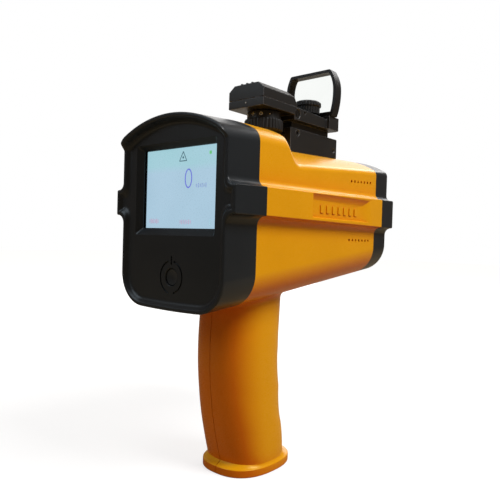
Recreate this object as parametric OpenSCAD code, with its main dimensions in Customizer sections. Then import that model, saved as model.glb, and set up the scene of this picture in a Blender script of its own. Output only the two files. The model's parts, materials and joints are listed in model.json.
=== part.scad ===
// Handheld laser gas leak detector: pistol-grip instrument with a rear colour screen and an open
// reflex sight on a riser rail. Millimetres. +Z up, +Y along the beam, +X to the right of the user.
// The origin is the centre of the flat foot under the grip.

/* [Body] */
// Joint between the rear bezel and the housing, along Y
joint_y = -44.5; // [-46:0.5:-43]
// Joint between the housing and the front ring, along Y
ring_y = 90; // [88:0.5:92]
// Front face of the instrument, along Y
front_y = 110; // [109:0.5:112]
// Wall of the moulded shells
wall = 2.5; // [2:0.1:3]
// Half-width over the side ribs at the bezel
rib_rear = 47.5; // [46.5:0.1:48]
// Half-width over the side ribs at the front ring
rib_front = 41.6; // [41:0.1:42]
// Height of the hump behind the sight
hump_z = 207.9; // [207:0.1:209]

/* [Grip] */
// Half-width of the grip
grip_w = 21.5; // [21:0.1:22]
// Thickness of the foot flange
foot_t = 4.9; // [4:0.1:5]
// How far the trigger is pulled
trigger_travel = 2.5; // [1.5:0.1:3]

/* [Screen] */
// Width of the screen's picture
screen_w = 57.6; // [57:0.1:58]
// Height of the screen's picture
screen_h = 43.2; // [43:0.1:44]
// Height of the screen's centre
screen_z = 167.4; // [167:0.1:168]
// Height of the power key's centre
key_z = 118.9; // [118:0.1:120]
// How far the power key is pressed
key_travel = 0.8; // [0.5:0.1:1]

/* [Optics] */
// Height of the receiver's axis
lens_z = 152.5; // [152:0.1:153]
// Radius of the receiver lens
lens_r = 26.5; // [25:0.1:27]
// Height of the emitters' axes
beam_z = 191; // [190.5:0.1:191.5]
// Distance of each emitter from the middle plane
beam_x = 10; // [9:0.1:11]

/* [Sight] */
// Half-width of the sight's casting
sight_w = 14.2; // [13.5:0.1:15]
// Top of the riser rail
rail_z = 214.4; // [214:0.1:215]
// Radius of the reticle dial
dial_r = 12.4; // [11.5:0.1:12.6]
// Radius of the brightness knob
knob_r = 9.3; // [9:0.1:9.6]
// Top of the lens hood
hood_z = 260.6; // [259:0.1:262]

/* [Hidden] */
$fn = 48;
gap = 0.3;
orange = [0.88, 0.55, 0.06];
black = [0.13, 0.14, 0.15];
dark = [0.09, 0.09, 0.09];
steel = [0.62, 0.63, 0.65];
pcb_green = [0.06, 0.3, 0.16];
glass = [0.55, 0.7, 0.75, 0.5];

// Rail and its seat
rail_y0 = 22.7;
rail_y1 = 78.7;
rail_w = 10.6;
rail_screw_y = [40, 66];
deck_slope = 0.036;
seat_depth = 1;

// Side vents: the rows' heights, the first hole's place along Y and the pitch
vent_rows = [181.5, 141.9];
vent_y = 54.4;
vent_pitch = 4.5;

// Display stack, front faces along Y
face_y = -66.6;
lip_y = -68.8;
visor_y = 3.6;
plate_y = -63;
window_t = 1.5;
gasket_t = 0.5;
lcd_t = 3.6;
// Inner end of the power key's tail
key_tail = -60.2;

// Grip and battery
trigger_z = 86;
trigger_w = 14;
trigger_h = 24;
spring_y = 1;
spring_turns = 4;
// Inner end of the trigger's push rod at rest
rod_y = 2.7;
coil_r = 2.4;
wire_r = 0.3;
cell_r = 9.1;
cell_x = 9.3;
cell_y = -6;
cell_z = 13;
cell_h = 65;

// Front end
window_y = 104;
tube_r = 29.5;
tube_y0 = 20;
tube_y1 = 70;
tube_y2 = 103;
aperture_r = 4.2;
module_r = 5.5;
chassis_z = 182.4;
chassis_t = 2;
chassis_w = 27;

// Sight
rear_y = -10;
seam_z = 226.6;
belly_z = 218.5;
box_z = 221.6;
ledge_z = 227.6;
dial_y = 8;
knob_x = 4.2;
knob_y = 49.8;
hood_y0 = 60;
hood_y1 = 67;
windage = [25, 222.6];
elevation_y = 30.5;
hood_mid = 246;

// Clamshell screw bosses, as [Y, Z, reach from the middle plane to the wall]
bosses = [[-32, 193, 37.5], [-30, 114.5, 34.5], [10, 176, 38.5], [50, 121.5, 29.8], [-23.5, 60, 16.8],
          [-20.5, 24, 14.6]];
boss_r = 3.8;
screw_r = 1.45;
// Screw points that hold the bezel, the front ring and the base cover, as [X, Z, boss radius] or [X, Y]
bezel_points = [[26, 197.6, 3.8], [33, 115, 5]];
ring_points = [[28, 128, 3.4], [31.4, 180, 3.6]];
base_point = [12.2, 10];
standoff_points = [[29, 146], [29, 186]];

// ---------- outline functions ----------

function mix(a, b, t) = a + (b - a) * t;
function clamp01(t) = max(0, min(1, t));
function smooth(t) = let (c = clamp01(t)) c * c * (3 - 2 * c);
function deck(y) = 198.3 + deck_slope * y;

// One cross-section, as [top, arch radius, shoulder radius, upper wall, rib, lower wall, rib top, rib bottom,
// bottom]
function section(y) =
  let (t = clamp01((y - joint_y) / (front_y - joint_y)),
       rear = max(0, joint_y - y) / 24,
       drop = smooth((y + 22.5) / 17))
  [mix(hump_z, deck(y), drop) - 1.4 * rear,
   mix(82, mix(60, 70, t), drop),
   mix(9, 5, drop),
   mix(41.8, 36.2, t),
   mix(rib_rear, rib_front, t),
   mix(41.2, 35.8, t),
   mix(168.1, 171.5, t) - 0.6 * rear,
   mix(152.8, 151.4, t),
   100.7 + 0.11 * (y - lip_y)];

// Half of the cross-section as [x, z], from the top of the middle plane round to its bottom.
// o moves every wall inwards, and rib_o is how far the rib's outer face moves.
function half_outline(y, o = 0, rib_o = 0) =
  let (s = section(y), zt = s[0] - o, ra = s[1] - o, rc = max(s[2] - o, 1.5),
       wu = s[3] - o, wr = s[4] - max(rib_o, o), wl = s[5] - o,
       zrt = s[6] - o, zrb = s[7] + o, zb = s[8] + o,
       rb = 19 - o, rbig = 600,
       rf = 0.78 * (wr - wu), ru = 0.72 * (wr - wl), c = 0.16 * (wr - wu),
       zc = zt - ra + sqrt(pow(ra - rc, 2) - pow(wu - rc, 2)),
       phi = asin((wu - rc) / (ra - rc)),
       zcb = zb + rbig - sqrt(pow(rbig - rb, 2) - pow(wl - rb, 2)),
       psi = asin((wl - rb) / (rbig - rb)))
  concat(
    [for (i = [0:4]) let (a = phi * i / 5) [ra * sin(a), zt - ra + ra * cos(a)]],
    [for (i = [0:4]) let (a = mix(phi, 90, i / 4)) [wu - rc + rc * sin(a), zc + rc * cos(a)]],
    [for (i = [0:3]) let (a = 180 + 30 * i) [wu + rf + rf * cos(a), zrt + rf + rf * sin(a)]],
    [[wr - c, zrt], [wr, zrt - c], [wr, zrb + c], [wr - c, zrb]],
    [for (i = [0:3]) let (a = 90 + 30 * i) [wl + ru + ru * cos(a), zrb - ru + ru * sin(a)]],
    [for (i = [0:6]) let (a = mix(90, psi, i / 6)) [wl - rb + rb * sin(a), zcb - rb * cos(a)]],
    [for (i = [1:3]) let (a = psi * (1 - i / 3)) [rbig * sin(a), zb + rbig - rbig * cos(a)]]);

// The whole cross-section as a closed loop
function full_outline(y, o = 0, rib_o = 0) =
  let (h = half_outline(y, o, rib_o), n = len(h))
  concat(h, [for (i = [n - 2:-1:1]) [-h[i][0], h[i][1]]]);

function at_y(points, y) = [for (p = points) [p[0], y, p[1]]];
function reversed(list) = [for (i = [len(list) - 1:-1:0]) list[i]];

// Grip profile: where its rear and front lines lie at each height, as [Z, rear Y, front Y]
grip_line = [[4.5, -22.8, 21.8], [18, -27, 21.2], [32, -30.4, 18.6], [47, -33, 16.9], [62, -34.6, 15.6],
             [77, -35.1, 14.6], [95, -34.3, 15.2], [112, -33.5, 16.2]];
// Slope from the foot's rim up to the grip, as [height over the rim, extra half-width, rear Y, front Y]
foot_slope = [[-0.2, 1.2, -27.6, 27.7], [2.4, -0.3, -23.4, 21.4]];
// Heights of the finger grooves' ridges
ridge_z = [26, 50, 74];
groove_depth = 0.9;
function groove(z) = z < ridge_z[0] || z > ridge_z[2] ? 0 :
  groove_depth * pow(abs(sin(180 * (z - ridge_z[0]) / (ridge_z[1] - ridge_z[0]))), 0.7);
function grip_at(z, col) = lookup(z, [for (g = grip_line) [g[0], g[col]]]);

// Superellipse, half of it or the whole, anticlockwise from the rear when seen from above
function power(v, e) = sign(v) * pow(abs(v), e);
function super_half(w, y0, y1, n) =
  [for (i = [0:n]) let (a = -90 + 180 * i / n)
    [w * power(i == 0 || i == n ? 0 : cos(a), 0.8), (y0 + y1) / 2 + (y1 - y0) / 2 * power(sin(a), 0.8)]];
function super_full(w, y0, y1, n) =
  let (h = super_half(w, y0, y1, n)) concat(h, [for (i = [n - 1:-1:1]) [-h[i][0], h[i][1]]]);
function at_z(points, z) = [for (p = points) [p[0], p[1], z]];

// Rounded rectangle, centred
function round_rect(w, h, r) =
  [for (q = [0:3], i = [0:3]) let (a = 90 * q + 30 * i)
    [(q == 0 || q == 3 ? 1 : -1) * (w / 2 - r) + r * cos(a), (q < 2 ? 1 : -1) * (h / 2 - r) + r * sin(a)]];

// ---------- builders ----------

// Skins a stack of loops. cap is "fan" for a solid, "strip" for a folded shell, "ring" for a closed band.
module skin(rings, cap = "fan") {
  m = len(rings);
  n = len(rings[0]);
  spans = cap == "ring" ? m - 1 : m - 2;
  side = [for (i = [0:spans], j = [0:n - 1])
    let (k = (j + 1) % n, up = (i + 1) % m, a = i * n + j, b = i * n + k, c = up * n + k, d = up * n + j)
    each [[a, c, b], [a, d, c]]];
  last = (m - 1) * n;
  fans = [for (j = [1:n - 2]) each [[0, j, j + 1], [last, last + j + 1, last + j]]];
  strips = [for (j = [0:n / 2 - 2])
    let (k = n - 1 - j)
    each [[j, j + 1, k - 1], [j, k - 1, k],
          [last + j, last + k - 1, last + j + 1], [last + j, last + k, last + k - 1]]];
  polyhedron([for (r = rings) each r], concat(side, cap == "fan" ? fans : cap == "strip" ? strips : []));
}

// Cylinder along X or Y, from the given point towards plus
module x_rod(x, y, z, r, h) { translate([x, y, z]) rotate([0, 90, 0]) cylinder(r = r, h = h); }
module y_rod(x, y, z, r, h) { translate([x, y, z]) rotate([-90, 0, 0]) cylinder(r = r, h = h); }
// Disc with a hole along Y
module y_ring(x, y, z, r, inner, h) {
  difference() {
    y_rod(x, y, z, r, h);
    y_rod(x, y - 1, z, inner, h + 2);
  }
}
// Box from its lowest to its highest corner
module span(lo, hi) { translate(lo) cube(hi - lo); }
// Plate with rounded corners standing across Y, centred on X = 0 at height z
module y_plate(y, z, w, h, r, t) {
  translate([0, y + t, z]) rotate([90, 0, 0]) linear_extrude(t) polygon(round_rect(w, h, r));
}
// Profile drawn as [Y, Z], extruded across X by w, centred
module side_profile(points, w) {
  rotate([90, 0, 90]) linear_extrude(w, center = true) polygon(points);
}

// ---------- housing ----------

shell_y = [joint_y, -30, -22.5, -20, -17.5, -15.5, -13.5, -11, -8.5, -5.5, 24, ring_y];
grip_z = [foot_t - 0.5, 9, 14, 18, 22, 26, 30, 34, 38, 42, 46, 50, 54, 58, 62, 66, 70, 73, 78, 86, 95, 112];

function shell_ring(y) =
  at_y(concat(half_outline(y), reversed(half_outline(y, wall, wall + 2))), y);
function grip_half_ring(z) =
  at_z(super_half(grip_w, grip_at(z, 1), grip_at(z, 2) - groove(z), 14), z);
function grip_hollow_ring(z) =
  at_z(super_full(grip_w - wall, grip_at(z, 1) + wall, grip_at(z, 2) - wall - groove_depth, 10), z);

// Right half; the left one is its mirror image with other screw holes
module half_shell(left) {
  difference() {
    union() {
      difference() {
        union() {
          skin([for (y = shell_y) shell_ring(y)], "strip");
          skin([for (z = grip_z) grip_half_ring(z)]);
          linear_extrude(foot_t) polygon(super_half(grip_w + 1.4, -27.8, 27.9, 20));
          skin([for (f = foot_slope) at_z(super_half(grip_w + f[1], f[2], f[3], 20), foot_t + f[0])]);
        }
        skin([for (z = [3.2, 18, 32, 47, 62, 77, 95, 120]) grip_hollow_ring(z)]);
        translate([0, 0, -1]) linear_extrude(5) polygon(super_full(17.5, -18.3, 18.3, 14));
      }
      for (b = bosses) x_rod(0, b[0], b[1], boss_r, b[2]);
      for (p = bezel_points) y_rod(p[0], joint_y, p[1], p[2], 2.5);
      for (p = ring_points) y_rod(p[0], ring_y - 9, p[1], p[2], 9);
      for (s = [-1, 1]) translate([base_point[0], s * base_point[1], 3.2]) cylinder(r = 5.2, h = 6.5);
    }
    for (b = bosses) {
      x_rod(-1, b[0], b[1], screw_r, left ? 60 : 12);
      if (left) x_rod(b[2] - 2.2, b[0], b[1], 3, 20);
    }
    for (p = bezel_points) y_rod(p[0], joint_y - 1, p[1], screw_r, 5);
    for (p = ring_points) y_rod(p[0], ring_y - 8, p[1], 1.1, 10);
    for (s = [-1, 1]) translate([base_point[0], s * base_point[1], 2]) cylinder(r = 1.1, h = 6.5);
    for (row = vent_rows, i = [0:6]) x_rod(30, vent_y + vent_pitch * i, row, 0.65, 12);
    rib_recess();
    rail_seat();
    translate([0, 30, trigger_z]) rotate([90, 0, 0])
      linear_extrude(22) polygon(round_rect(trigger_w + 0.9, trigger_h + 0.9, 3));
    for (y = rail_screw_y) translate([0, y, 190]) cylinder(r = 1.6, h = 20);
  }
  rib_marks();
}

// Sunk panel with sloping walls in the rib's outer face, left blank but for a row of plain bars
module on_rib(y, z) {
  t = (y - joint_y) / (front_y - joint_y);
  lean = atan((rib_rear - rib_front) / (front_y - joint_y));
  translate([mix(rib_rear, rib_front, t), y, z]) rotate([0, 0, lean]) children();
}
module rib_recess() {
  on_rib(35, 161.2) skin([for (r = [[-2.2, 30.5, -4.7, 2.7], [0, 35.5, -7.2, 7.2], [3, 35.5, -7.2, 7.2]])
    [[r[0], -r[1], r[2]], [r[0], r[1], r[2]], [r[0], r[1], r[3]], [r[0], -r[1], r[3]]]]);
}
module rib_marks() {
  on_rib(35, 160) for (i = [0:6]) span([-2.4, -24 + 7 * i, -2.5], [-1.4, -20.5 + 7 * i, 2.5]);
}

// Flat inclined seat in the deck for the rail
module rail_seat() {
  translate([0, rail_y0, deck(rail_y0) - seat_depth]) rotate([atan(deck_slope), 0, 0])
    span([-rail_w - 0.2, -0.2, 0], [rail_w + 0.2, rail_y1 - rail_y0 + 0.3, 12]);
}

module housing_right() { color(orange) half_shell(false); }
module housing_left() { color(orange) mirror([1, 0, 0]) half_shell(true); }

// ---------- rear bezel and screen ----------

// Extra height of the visor lip over the top arch
function visor(z) = visor_y * smooth((z - 189.5) / 5);
// The rim is a band swept round the cross-section: each entry is [inset, y, share of the visor]
rim_profile = [[0, joint_y, 0], [0, -66, 0.3], [0.5, -68, 0.9], [1.7, lip_y, 1], [3, -68.5, 1],
               [4, -67.4, 0.7], [5.5, face_y + 0.1, 0], [5.5, -64, 0], [3, -64, 0], [3, joint_y, 0]];

function rim_ring(inset, y, share) =
  [for (q = full_outline(max(y, lip_y), inset, inset)) [q[0], y - share * visor(q[1]), q[1]]];

module rear_bezel() {
  color(black) difference() {
    union() {
      skin(reversed([for (p = rim_profile) rim_ring(p[0], p[1], p[2])]), "ring");
      difference() {
        translate([0, plate_y, 0]) rotate([90, 0, 0]) linear_extrude(plate_y - face_y)
          polygon(reversed(full_outline(face_y, 4, 4)));
        screen_opening();
      }
      for (s = [-1, 1]) {
        for (p = bezel_points) y_rod(s * p[0], plate_y - 1, p[1], 3, joint_y - plate_y + 1);
        y_rod(s * 16, plate_y - 1, key_z, 2.4, 8.4);
        y_rod(s * 16, plate_y - 1, key_z, 1.2, 10.4);
      }
    }
    y_rod(0, -70, key_z, 4.75, 10);
    power_symbol();
    for (s = [-1, 1], p = bezel_points) y_rod(s * p[0], -56, p[1], 1.1, 14);
  }
}

// Window in the face with sloping sides
module screen_opening() {
  hull() {
    y_plate(plate_y - 0.4, screen_z, screen_w + 0.6, screen_h + 0.6, 0.5, 0.4);
    y_plate(face_y - 0.4, screen_z - 0.6, screen_w + 7, screen_h + 8, 1.5, 0.4);
  }
  y_plate(plate_y - 1, screen_z, screen_w + 0.6, screen_h + 0.6, 0.5, 3);
}

// Engraved power sign round the key
module power_symbol() {
  difference() {
    y_ring(0, face_y - 1, key_z, 9.2, 8.3, 1.5);
    for (s = [-1, 1]) span([-2, -70, key_z + s * 8.8 - 1.5], [2, -60, key_z + s * 8.8 + 1.5]);
  }
  span([-0.5, face_y - 1, key_z + 6.7], [0.5, face_y + 0.5, key_z + 11.6]);
}

module display_window() {
  color(glass) y_plate(plate_y, screen_z, 66, 51.6, 1.5, window_t);
}
module display_gasket() {
  color(dark) difference() {
    y_plate(plate_y + window_t, screen_z, 66, 51.6, 1.5, gasket_t);
    y_plate(plate_y + window_t - 1, screen_z, screen_w + 1, screen_h + 1, 0.5, gasket_t + 2);
  }
}
module lcd_panel() {
  color([0.7, 0.8, 0.85]) y_plate(plate_y + window_t + gasket_t, screen_z, 65, 50.4, 1, lcd_t);
}
module lcd_frame() {
  y0 = plate_y + window_t + gasket_t + lcd_t;
  color(steel) difference() {
    y_plate(y0, screen_z, 68, 54, 1.5, 1);
    for (s = [-1, 1]) y_plate(y0 - 1, screen_z + 11 * s, 40, 12, 2, 3);
  }
}
module key_board() {
  color(pcb_green) difference() {
    y_plate(-55.6, key_z, 40, 20, 1.5, 1.6);
    for (s = [-1, 1]) y_rod(s * 16, -60, key_z, 1.3, 8);
  }
}
module power_switch() {
  color(dark) {
    y_plate(-58.4, key_z, 6, 6, 0.5, 2.8);
    y_rod(0, key_tail + key_travel + gap, key_z, 1.7, 0.8);
  }
}
module power_button() {
  color(black) {
    difference() {
      y_rod(0, -66, key_z, 4.45, 3.4);
      translate([0, -66 - 17.6, key_z]) sphere(r = 18);
    }
    y_rod(0, -62.7, key_z, 6.2, 1);
    y_rod(0, key_tail - 1.6, key_z, 1.8, 1.6);
  }
}

// ---------- electronics ----------

module main_board() {
  color(pcb_green) difference() {
    y_plate(-51.5, 159, 66, 62, 2, 1.6);
    for (s = [-1, 1], p = standoff_points) y_rod(s * p[0], -53, p[1], 1.3, 5);
  }
}
module board_standoffs() {
  color(steel) for (s = [-1, 1], p = standoff_points) {
    translate([s * p[0], -51.5, p[1]]) rotate([90, 0, 0]) cylinder(r = 2.6, h = 4.9, $fn = 6);
    y_rod(s * p[0], -51.6, p[1], 1.2, 3);
  }
}
// Processor, memory, coils and plugs on the front of the board
module board_chips() {
  color(dark) {
    y_plate(-49.9, 160, 14, 14, 0.5, 1.6);
    for (s = [-1, 1]) {
      span([s * 19 - 4, -49.9, 166], [s * 19 + 4, -48.6, 178]);
      span([s * 17 - 5, -49.9, 138], [s * 17 + 5, -45.5, 143]);
      for (i = [0:2]) y_rod(s * (12 + 6 * i), -49.9, 150, 2.2, 4);
    }
    span([-9, -49.9, 180], [9, -47.4, 184]);
  }
}
module buzzer() {
  color(dark) difference() {
    y_rod(0, -44.5, 138, 6, 5.5);
    y_rod(0, -40, 138, 1, 3);
  }
  color(dark) y_rod(-3, -49.9, 138, 0.5, 5.6);
  color(dark) y_rod(3, -49.9, 138, 0.5, 5.6);
}

// ---------- optics ----------

ring_profile = [[0, ring_y], [0, 107.2], [0.6, 109.2], [1.8, front_y], [3.4, front_y], [4.2, 109.1],
                [4.2, 107], [3, 107], [3, ring_y]];
plate_back = front_y - 3.5;

module front_ring() {
  color(black) difference() {
    union() {
      skin([for (p = ring_profile) at_y(full_outline(p[1], p[0], p[0]), p[1])], "ring");
      translate([0, front_y - 0.8, 0]) rotate([90, 0, 0]) linear_extrude(2.7)
        polygon(reversed(full_outline(front_y - 2, 3.2, 3.2)));
    }
    y_rod(0, 100, lens_z, 28, 20);
    for (s = [-1, 1]) {
      y_rod(s * beam_x, 100, beam_z, aperture_r, 20);
      for (p = ring_points) {
        y_rod(s * p[0], ring_y - 1, p[1], 1.5, 30);
        y_rod(s * p[0], front_y - 2.2, p[1], 2.8, 5);
      }
    }
  }
}
module ring_screws() {
  color(steel) for (s = [-1, 1], p = ring_points) difference() {
    union() {
      y_rod(s * p[0], ring_y - 6, p[1], 1.05, 15);
      y_rod(s * p[0], front_y - 11.2, p[1], 1.4, 9);
      y_rod(s * p[0], front_y - 2.2, p[1], 2.6, 1.3);
    }
    hex_socket(s * p[0], front_y - 1.8, p[1]);
  }
}
module hex_socket(x, y, z) {
  translate([x, y, z]) rotate([-90, 0, 0]) cylinder(r = 1.3, h = 3, $fn = 6);
}
module front_window() { color(glass) y_rod(0, window_y - 0.5, lens_z, 29.4, 2); }
module front_seal() { color(dark) y_ring(0, window_y + 1.5, lens_z, 29.4, 28.3, 1); }
module aperture_windows() {
  color(glass) for (s = [-1, 1]) y_rod(s * beam_x, plate_back - 1.5, beam_z, 5.2, 1.5);
}

module optics_tube() {
  color(dark) union() {
    translate([0, 0, lens_z]) rotate([-90, 0, 0]) rotate_extrude() polygon([
      [12, tube_y0 - 2], [17, tube_y0 - 2], [17, tube_y0], [14.5, tube_y0], [tube_r, tube_y1],
      [tube_r, tube_y2], [lens_r + 0.1, tube_y2], [lens_r + 0.1, 90], [lens_r - 1.5, 90],
      [lens_r - 1.5, tube_y1], [12, tube_y0]]);
    for (s = [-1, 1], t = [-1, 1]) y_rod(s * 10.5, 14.6, lens_z + t * 10.5, 1.8, 4.4);
  }
}
// Plano-convex lens with its flat side towards the detector, turned about the +Y axis
function dome(r, flat, sag, n) =
  let (ball = (r * r + sag * sag) / (2 * sag), edge = asin(r / ball))
  concat([[0, 0], [r, 0]],
         [for (i = [0:n]) let (a = edge * (1 - i / n)) [ball * sin(a), flat + sag - ball + ball * cos(a)]]);
module y_lens(x, y, z, r, flat, sag) {
  translate([x, y, z]) rotate([-90, 0, 0]) rotate_extrude($fn = 96) polygon(dome(r, flat, sag, 12));
}
module receiver_lens() { color(glass) y_lens(0, 90, lens_z, lens_r, 2, 5); }
module lens_retainer() { color(dark) y_ring(0, 97.2, lens_z, lens_r, 24, 4); }
module detector_board() { color(pcb_green) y_plate(13, lens_z, 30, 30, 2, 1.6); }
module detector_can() {
  color(steel) {
    y_rod(0, 14.6, lens_z, 5.6, 0.9);
    y_rod(0, 14.6, lens_z, 4.5, 5);
  }
}
module laser_module() {
  color(steel) difference() {
    y_rod(-beam_x, 60, beam_z, module_r, 38);
    y_rod(-beam_x, 90, beam_z, 4.1, 10);
  }
}
module collimator_lens() { color(glass) y_lens(-beam_x, 93, beam_z, 4, 2, 1); }
module pointer_laser() {
  color([0.75, 0.6, 0.3]) difference() {
    y_rod(beam_x, 66, beam_z, module_r, 32);
    y_rod(beam_x, 94, beam_z, 1.6, 10);
  }
}
// Flat plate with two collars for the receiver tube and half cradles for the emitters
module chassis() {
  color(steel) difference() {
    union() {
      span([-chassis_w, 24, chassis_z], [chassis_w, 100, chassis_z + chassis_t]);
      for (y = [74, 84]) {
        y_ring(0, y, lens_z, tube_r + 1.8, tube_r + 0.05, 6);
        span([-17, y, chassis_z + 1], [17, y + 6, beam_z - 1]);
      }
    }
    for (s = [-1, 1]) y_rod(s * beam_x, 60, beam_z, module_r + 0.05, 50);
    y_rod(0, 60, lens_z, tube_r + 0.05, 50);
    for (y = rail_screw_y) translate([0, y, 150]) cylinder(r = 4, h = 60);
  }
}

// ---------- grip parts ----------

module battery_cells() {
  color([0.2, 0.35, 0.6]) for (s = [-1, 1]) translate([s * cell_x, cell_y, cell_z]) {
    cylinder(r = cell_r, h = cell_h - 1.2);
    cylinder(r = 2.8, h = cell_h);
  }
}
module battery_holder() {
  spine_y = cell_y + cell_r + gap;
  spine_t = 1.2;
  end_t = 2;
  low = cell_z - end_t - 0.6;
  high = cell_z + cell_h + 0.6;
  color(dark) union() {
    for (z = [low, high]) span([-15, cell_y - 9, z], [15, spine_y + spine_t, z + end_t]);
    span([-12, spine_y, low], [12, spine_y + spine_t, high + end_t]);
  }
}
module battery_contacts() {
  color(steel) for (s = [-1, 1]) translate([s * cell_x, cell_y, 0]) {
    translate([0, 0, cell_z - 0.6]) cylinder(r = 3.5, h = 0.6);
    translate([0, 0, cell_z + cell_h]) cylinder(r = 3.5, h = 0.6);
  }
}
module base_cover() {
  color(orange) difference() {
    linear_extrude(3) polygon(super_full(17.2, -18, 18, 14));
    for (s = [-1, 1], t = [-1, 1]) translate([s * base_point[0], t * base_point[1], -1]) {
      cylinder(r = 1.4, h = 6);
      cylinder(r = 2.6, h = 2.5);
    }
    translate([0, 11, -1]) linear_extrude(6) polygon(round_rect(9.5, 3.8, 1.8));
  }
}
module base_screws() {
  color(steel) for (s = [-1, 1], t = [-1, 1])
    translate([s * base_point[0], t * base_point[1], 0]) difference() {
      union() {
        translate([0, 0, 0.3]) cylinder(r = 2.4, h = 1.2);
        translate([0, 0, 0.3]) cylinder(r = 1.05, h = 7);
      }
      translate([0, 0, -0.7]) cylinder(r = 1.1, h = 1.6, $fn = 6);
    }
}
module charge_socket() {
  color(steel) translate([0, 11, 0]) {
    difference() {
      translate([0, 0, 0.6]) linear_extrude(8) polygon(round_rect(9.1, 3.4, 1.6));
      translate([0, 0, 0]) linear_extrude(7.6) polygon(round_rect(8.5, 2.8, 1.3));
    }
    span([-3.3, -0.35, 2], [3.3, 0.35, 8]);
  }
}

// Finger blade with a hollow front face, a flange that keeps it in, and a push rod
module trigger() {
  half = trigger_h / 2;
  front = [for (i = [-6:6]) [18.6 - 1.6 * cos(15 * i), trigger_z + half * i / 6]];
  color(black) union() {
    intersection() {
      side_profile(concat([[8.8, trigger_z + half], [8.8, trigger_z - half]], front), trigger_w);
      y_plate(8, trigger_z, trigger_w, trigger_h, 2.6, 14);
    }
    y_plate(7.6, trigger_z, trigger_w + 3.2, trigger_h + 3.2, 3, 1.6);
    y_rod(0, rod_y, trigger_z + 2, 1.4, 7.7 - rod_y);
  }
}
module trigger_spring() {
  steps = spring_turns * 12;
  length = 7.2 - spring_y - 0.6;
  color(steel) translate([0, 0, trigger_z + 2]) skin([for (i = [0:steps])
    [for (k = [0:5]) let (a = 30 * i, q = 60 * k, r = coil_r + wire_r * cos(q))
      [r * cos(a), spring_y + 0.4 + length * i / steps + wire_r * sin(q), r * sin(a)]]]);
}
module trigger_bracket() {
  color(dark) difference() {
    span([-15, spring_y - 2, 81.8], [15, spring_y, 98]);
    y_rod(0, -5, trigger_z + 2, 1.8, 10);
  }
}
module trigger_switch() {
  color([0.15, 0.15, 0.16]) {
    span([-6.4, -8, 83], [6.4, spring_y - 2.2, 95]);
    y_rod(0, -2, trigger_z + 2, 1.2, 2 + rod_y - trigger_travel - 0.4);
  }
}
module housing_screws() {
  color(steel) for (b = bosses) {
    x_rod(-b[2] + 2.2, b[0], b[1], 1.35, b[2] + 6);
    x_rod(-b[2] + 0.6, b[0], b[1], 2.7, 1.6);
  }
}
module bezel_screws() {
  color(steel) for (s = [-1, 1], p = bezel_points) {
    y_rod(s * p[0], -54.5, p[1], 1.05, 12.5);
    y_rod(s * p[0], joint_y + 2.5, p[1], 2.5, 1.6);
  }
}

// ---------- rail and sight ----------

module rail() {
  top_half = 4.9;
  low_half = 6.4;
  floor_z = 209.6;
  color(black) difference() {
    side_profile([[rail_y0, deck(rail_y0) - 0.95], [rail_y1, deck(rail_y1) - 0.95], [rail_y1, rail_z - 0.8],
                  [rail_y1 - 0.8, rail_z], [rail_y0 + 0.8, rail_z], [rail_y0, rail_z - 0.8]], 2 * rail_w);
    for (s = [-1, 1]) translate([s * rail_w, 0, rail_z]) rotate([0, 45, 0])
      cube([1.2, 200, 1.2], center = true);
    translate([0, rail_y1 + 1, 0]) rotate([90, 0, 0]) linear_extrude(rail_y1 - rail_y0 + 2)
      polygon([[-low_half, floor_z], [low_half, floor_z], [top_half, rail_z + 1], [-top_half, rail_z + 1]]);
    for (y = rail_screw_y) translate([0, y, 190]) {
      cylinder(r = 1.6, h = 30);
      translate([0, 0, 14]) cylinder(r = 3.2, h = 20);
    }
    x_rod(5, 30.5, 211.6, 1.95, 10);
    x_rod(7, 74, 205.8, 1.35, 10);
  }
}
module rail_screws() {
  color(steel) for (y = rail_screw_y) translate([0, y, 0]) {
    difference() {
      translate([0, 0, 204]) cylinder(r = 3, h = 3.2);
      translate([0, 0, 205.4]) cylinder(r = 1.6, h = 3, $fn = 6);
    }
    translate([0, 0, 192.5]) cylinder(r = 1.5, h = 11.6);
    difference() {
      translate([0, 0, deck(y) - wall - 2.7]) cylinder(r = 3, h = 2.4, $fn = 6);
      translate([0, 0, 190]) cylinder(r = 1.5, h = 12);
    }
  }
}
module clamp_screws() {
  color(steel) {
    difference() {
      x_rod(6.9, 30.5, 211.6, 1.85, 3.4);
      translate([9, 30.5, 211.6]) rotate([0, 90, 0]) cylinder(r = 1, h = 3, $fn = 6);
    }
    x_rod(7.2, 74, 205.8, 1.25, 3);
  }
}

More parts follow.
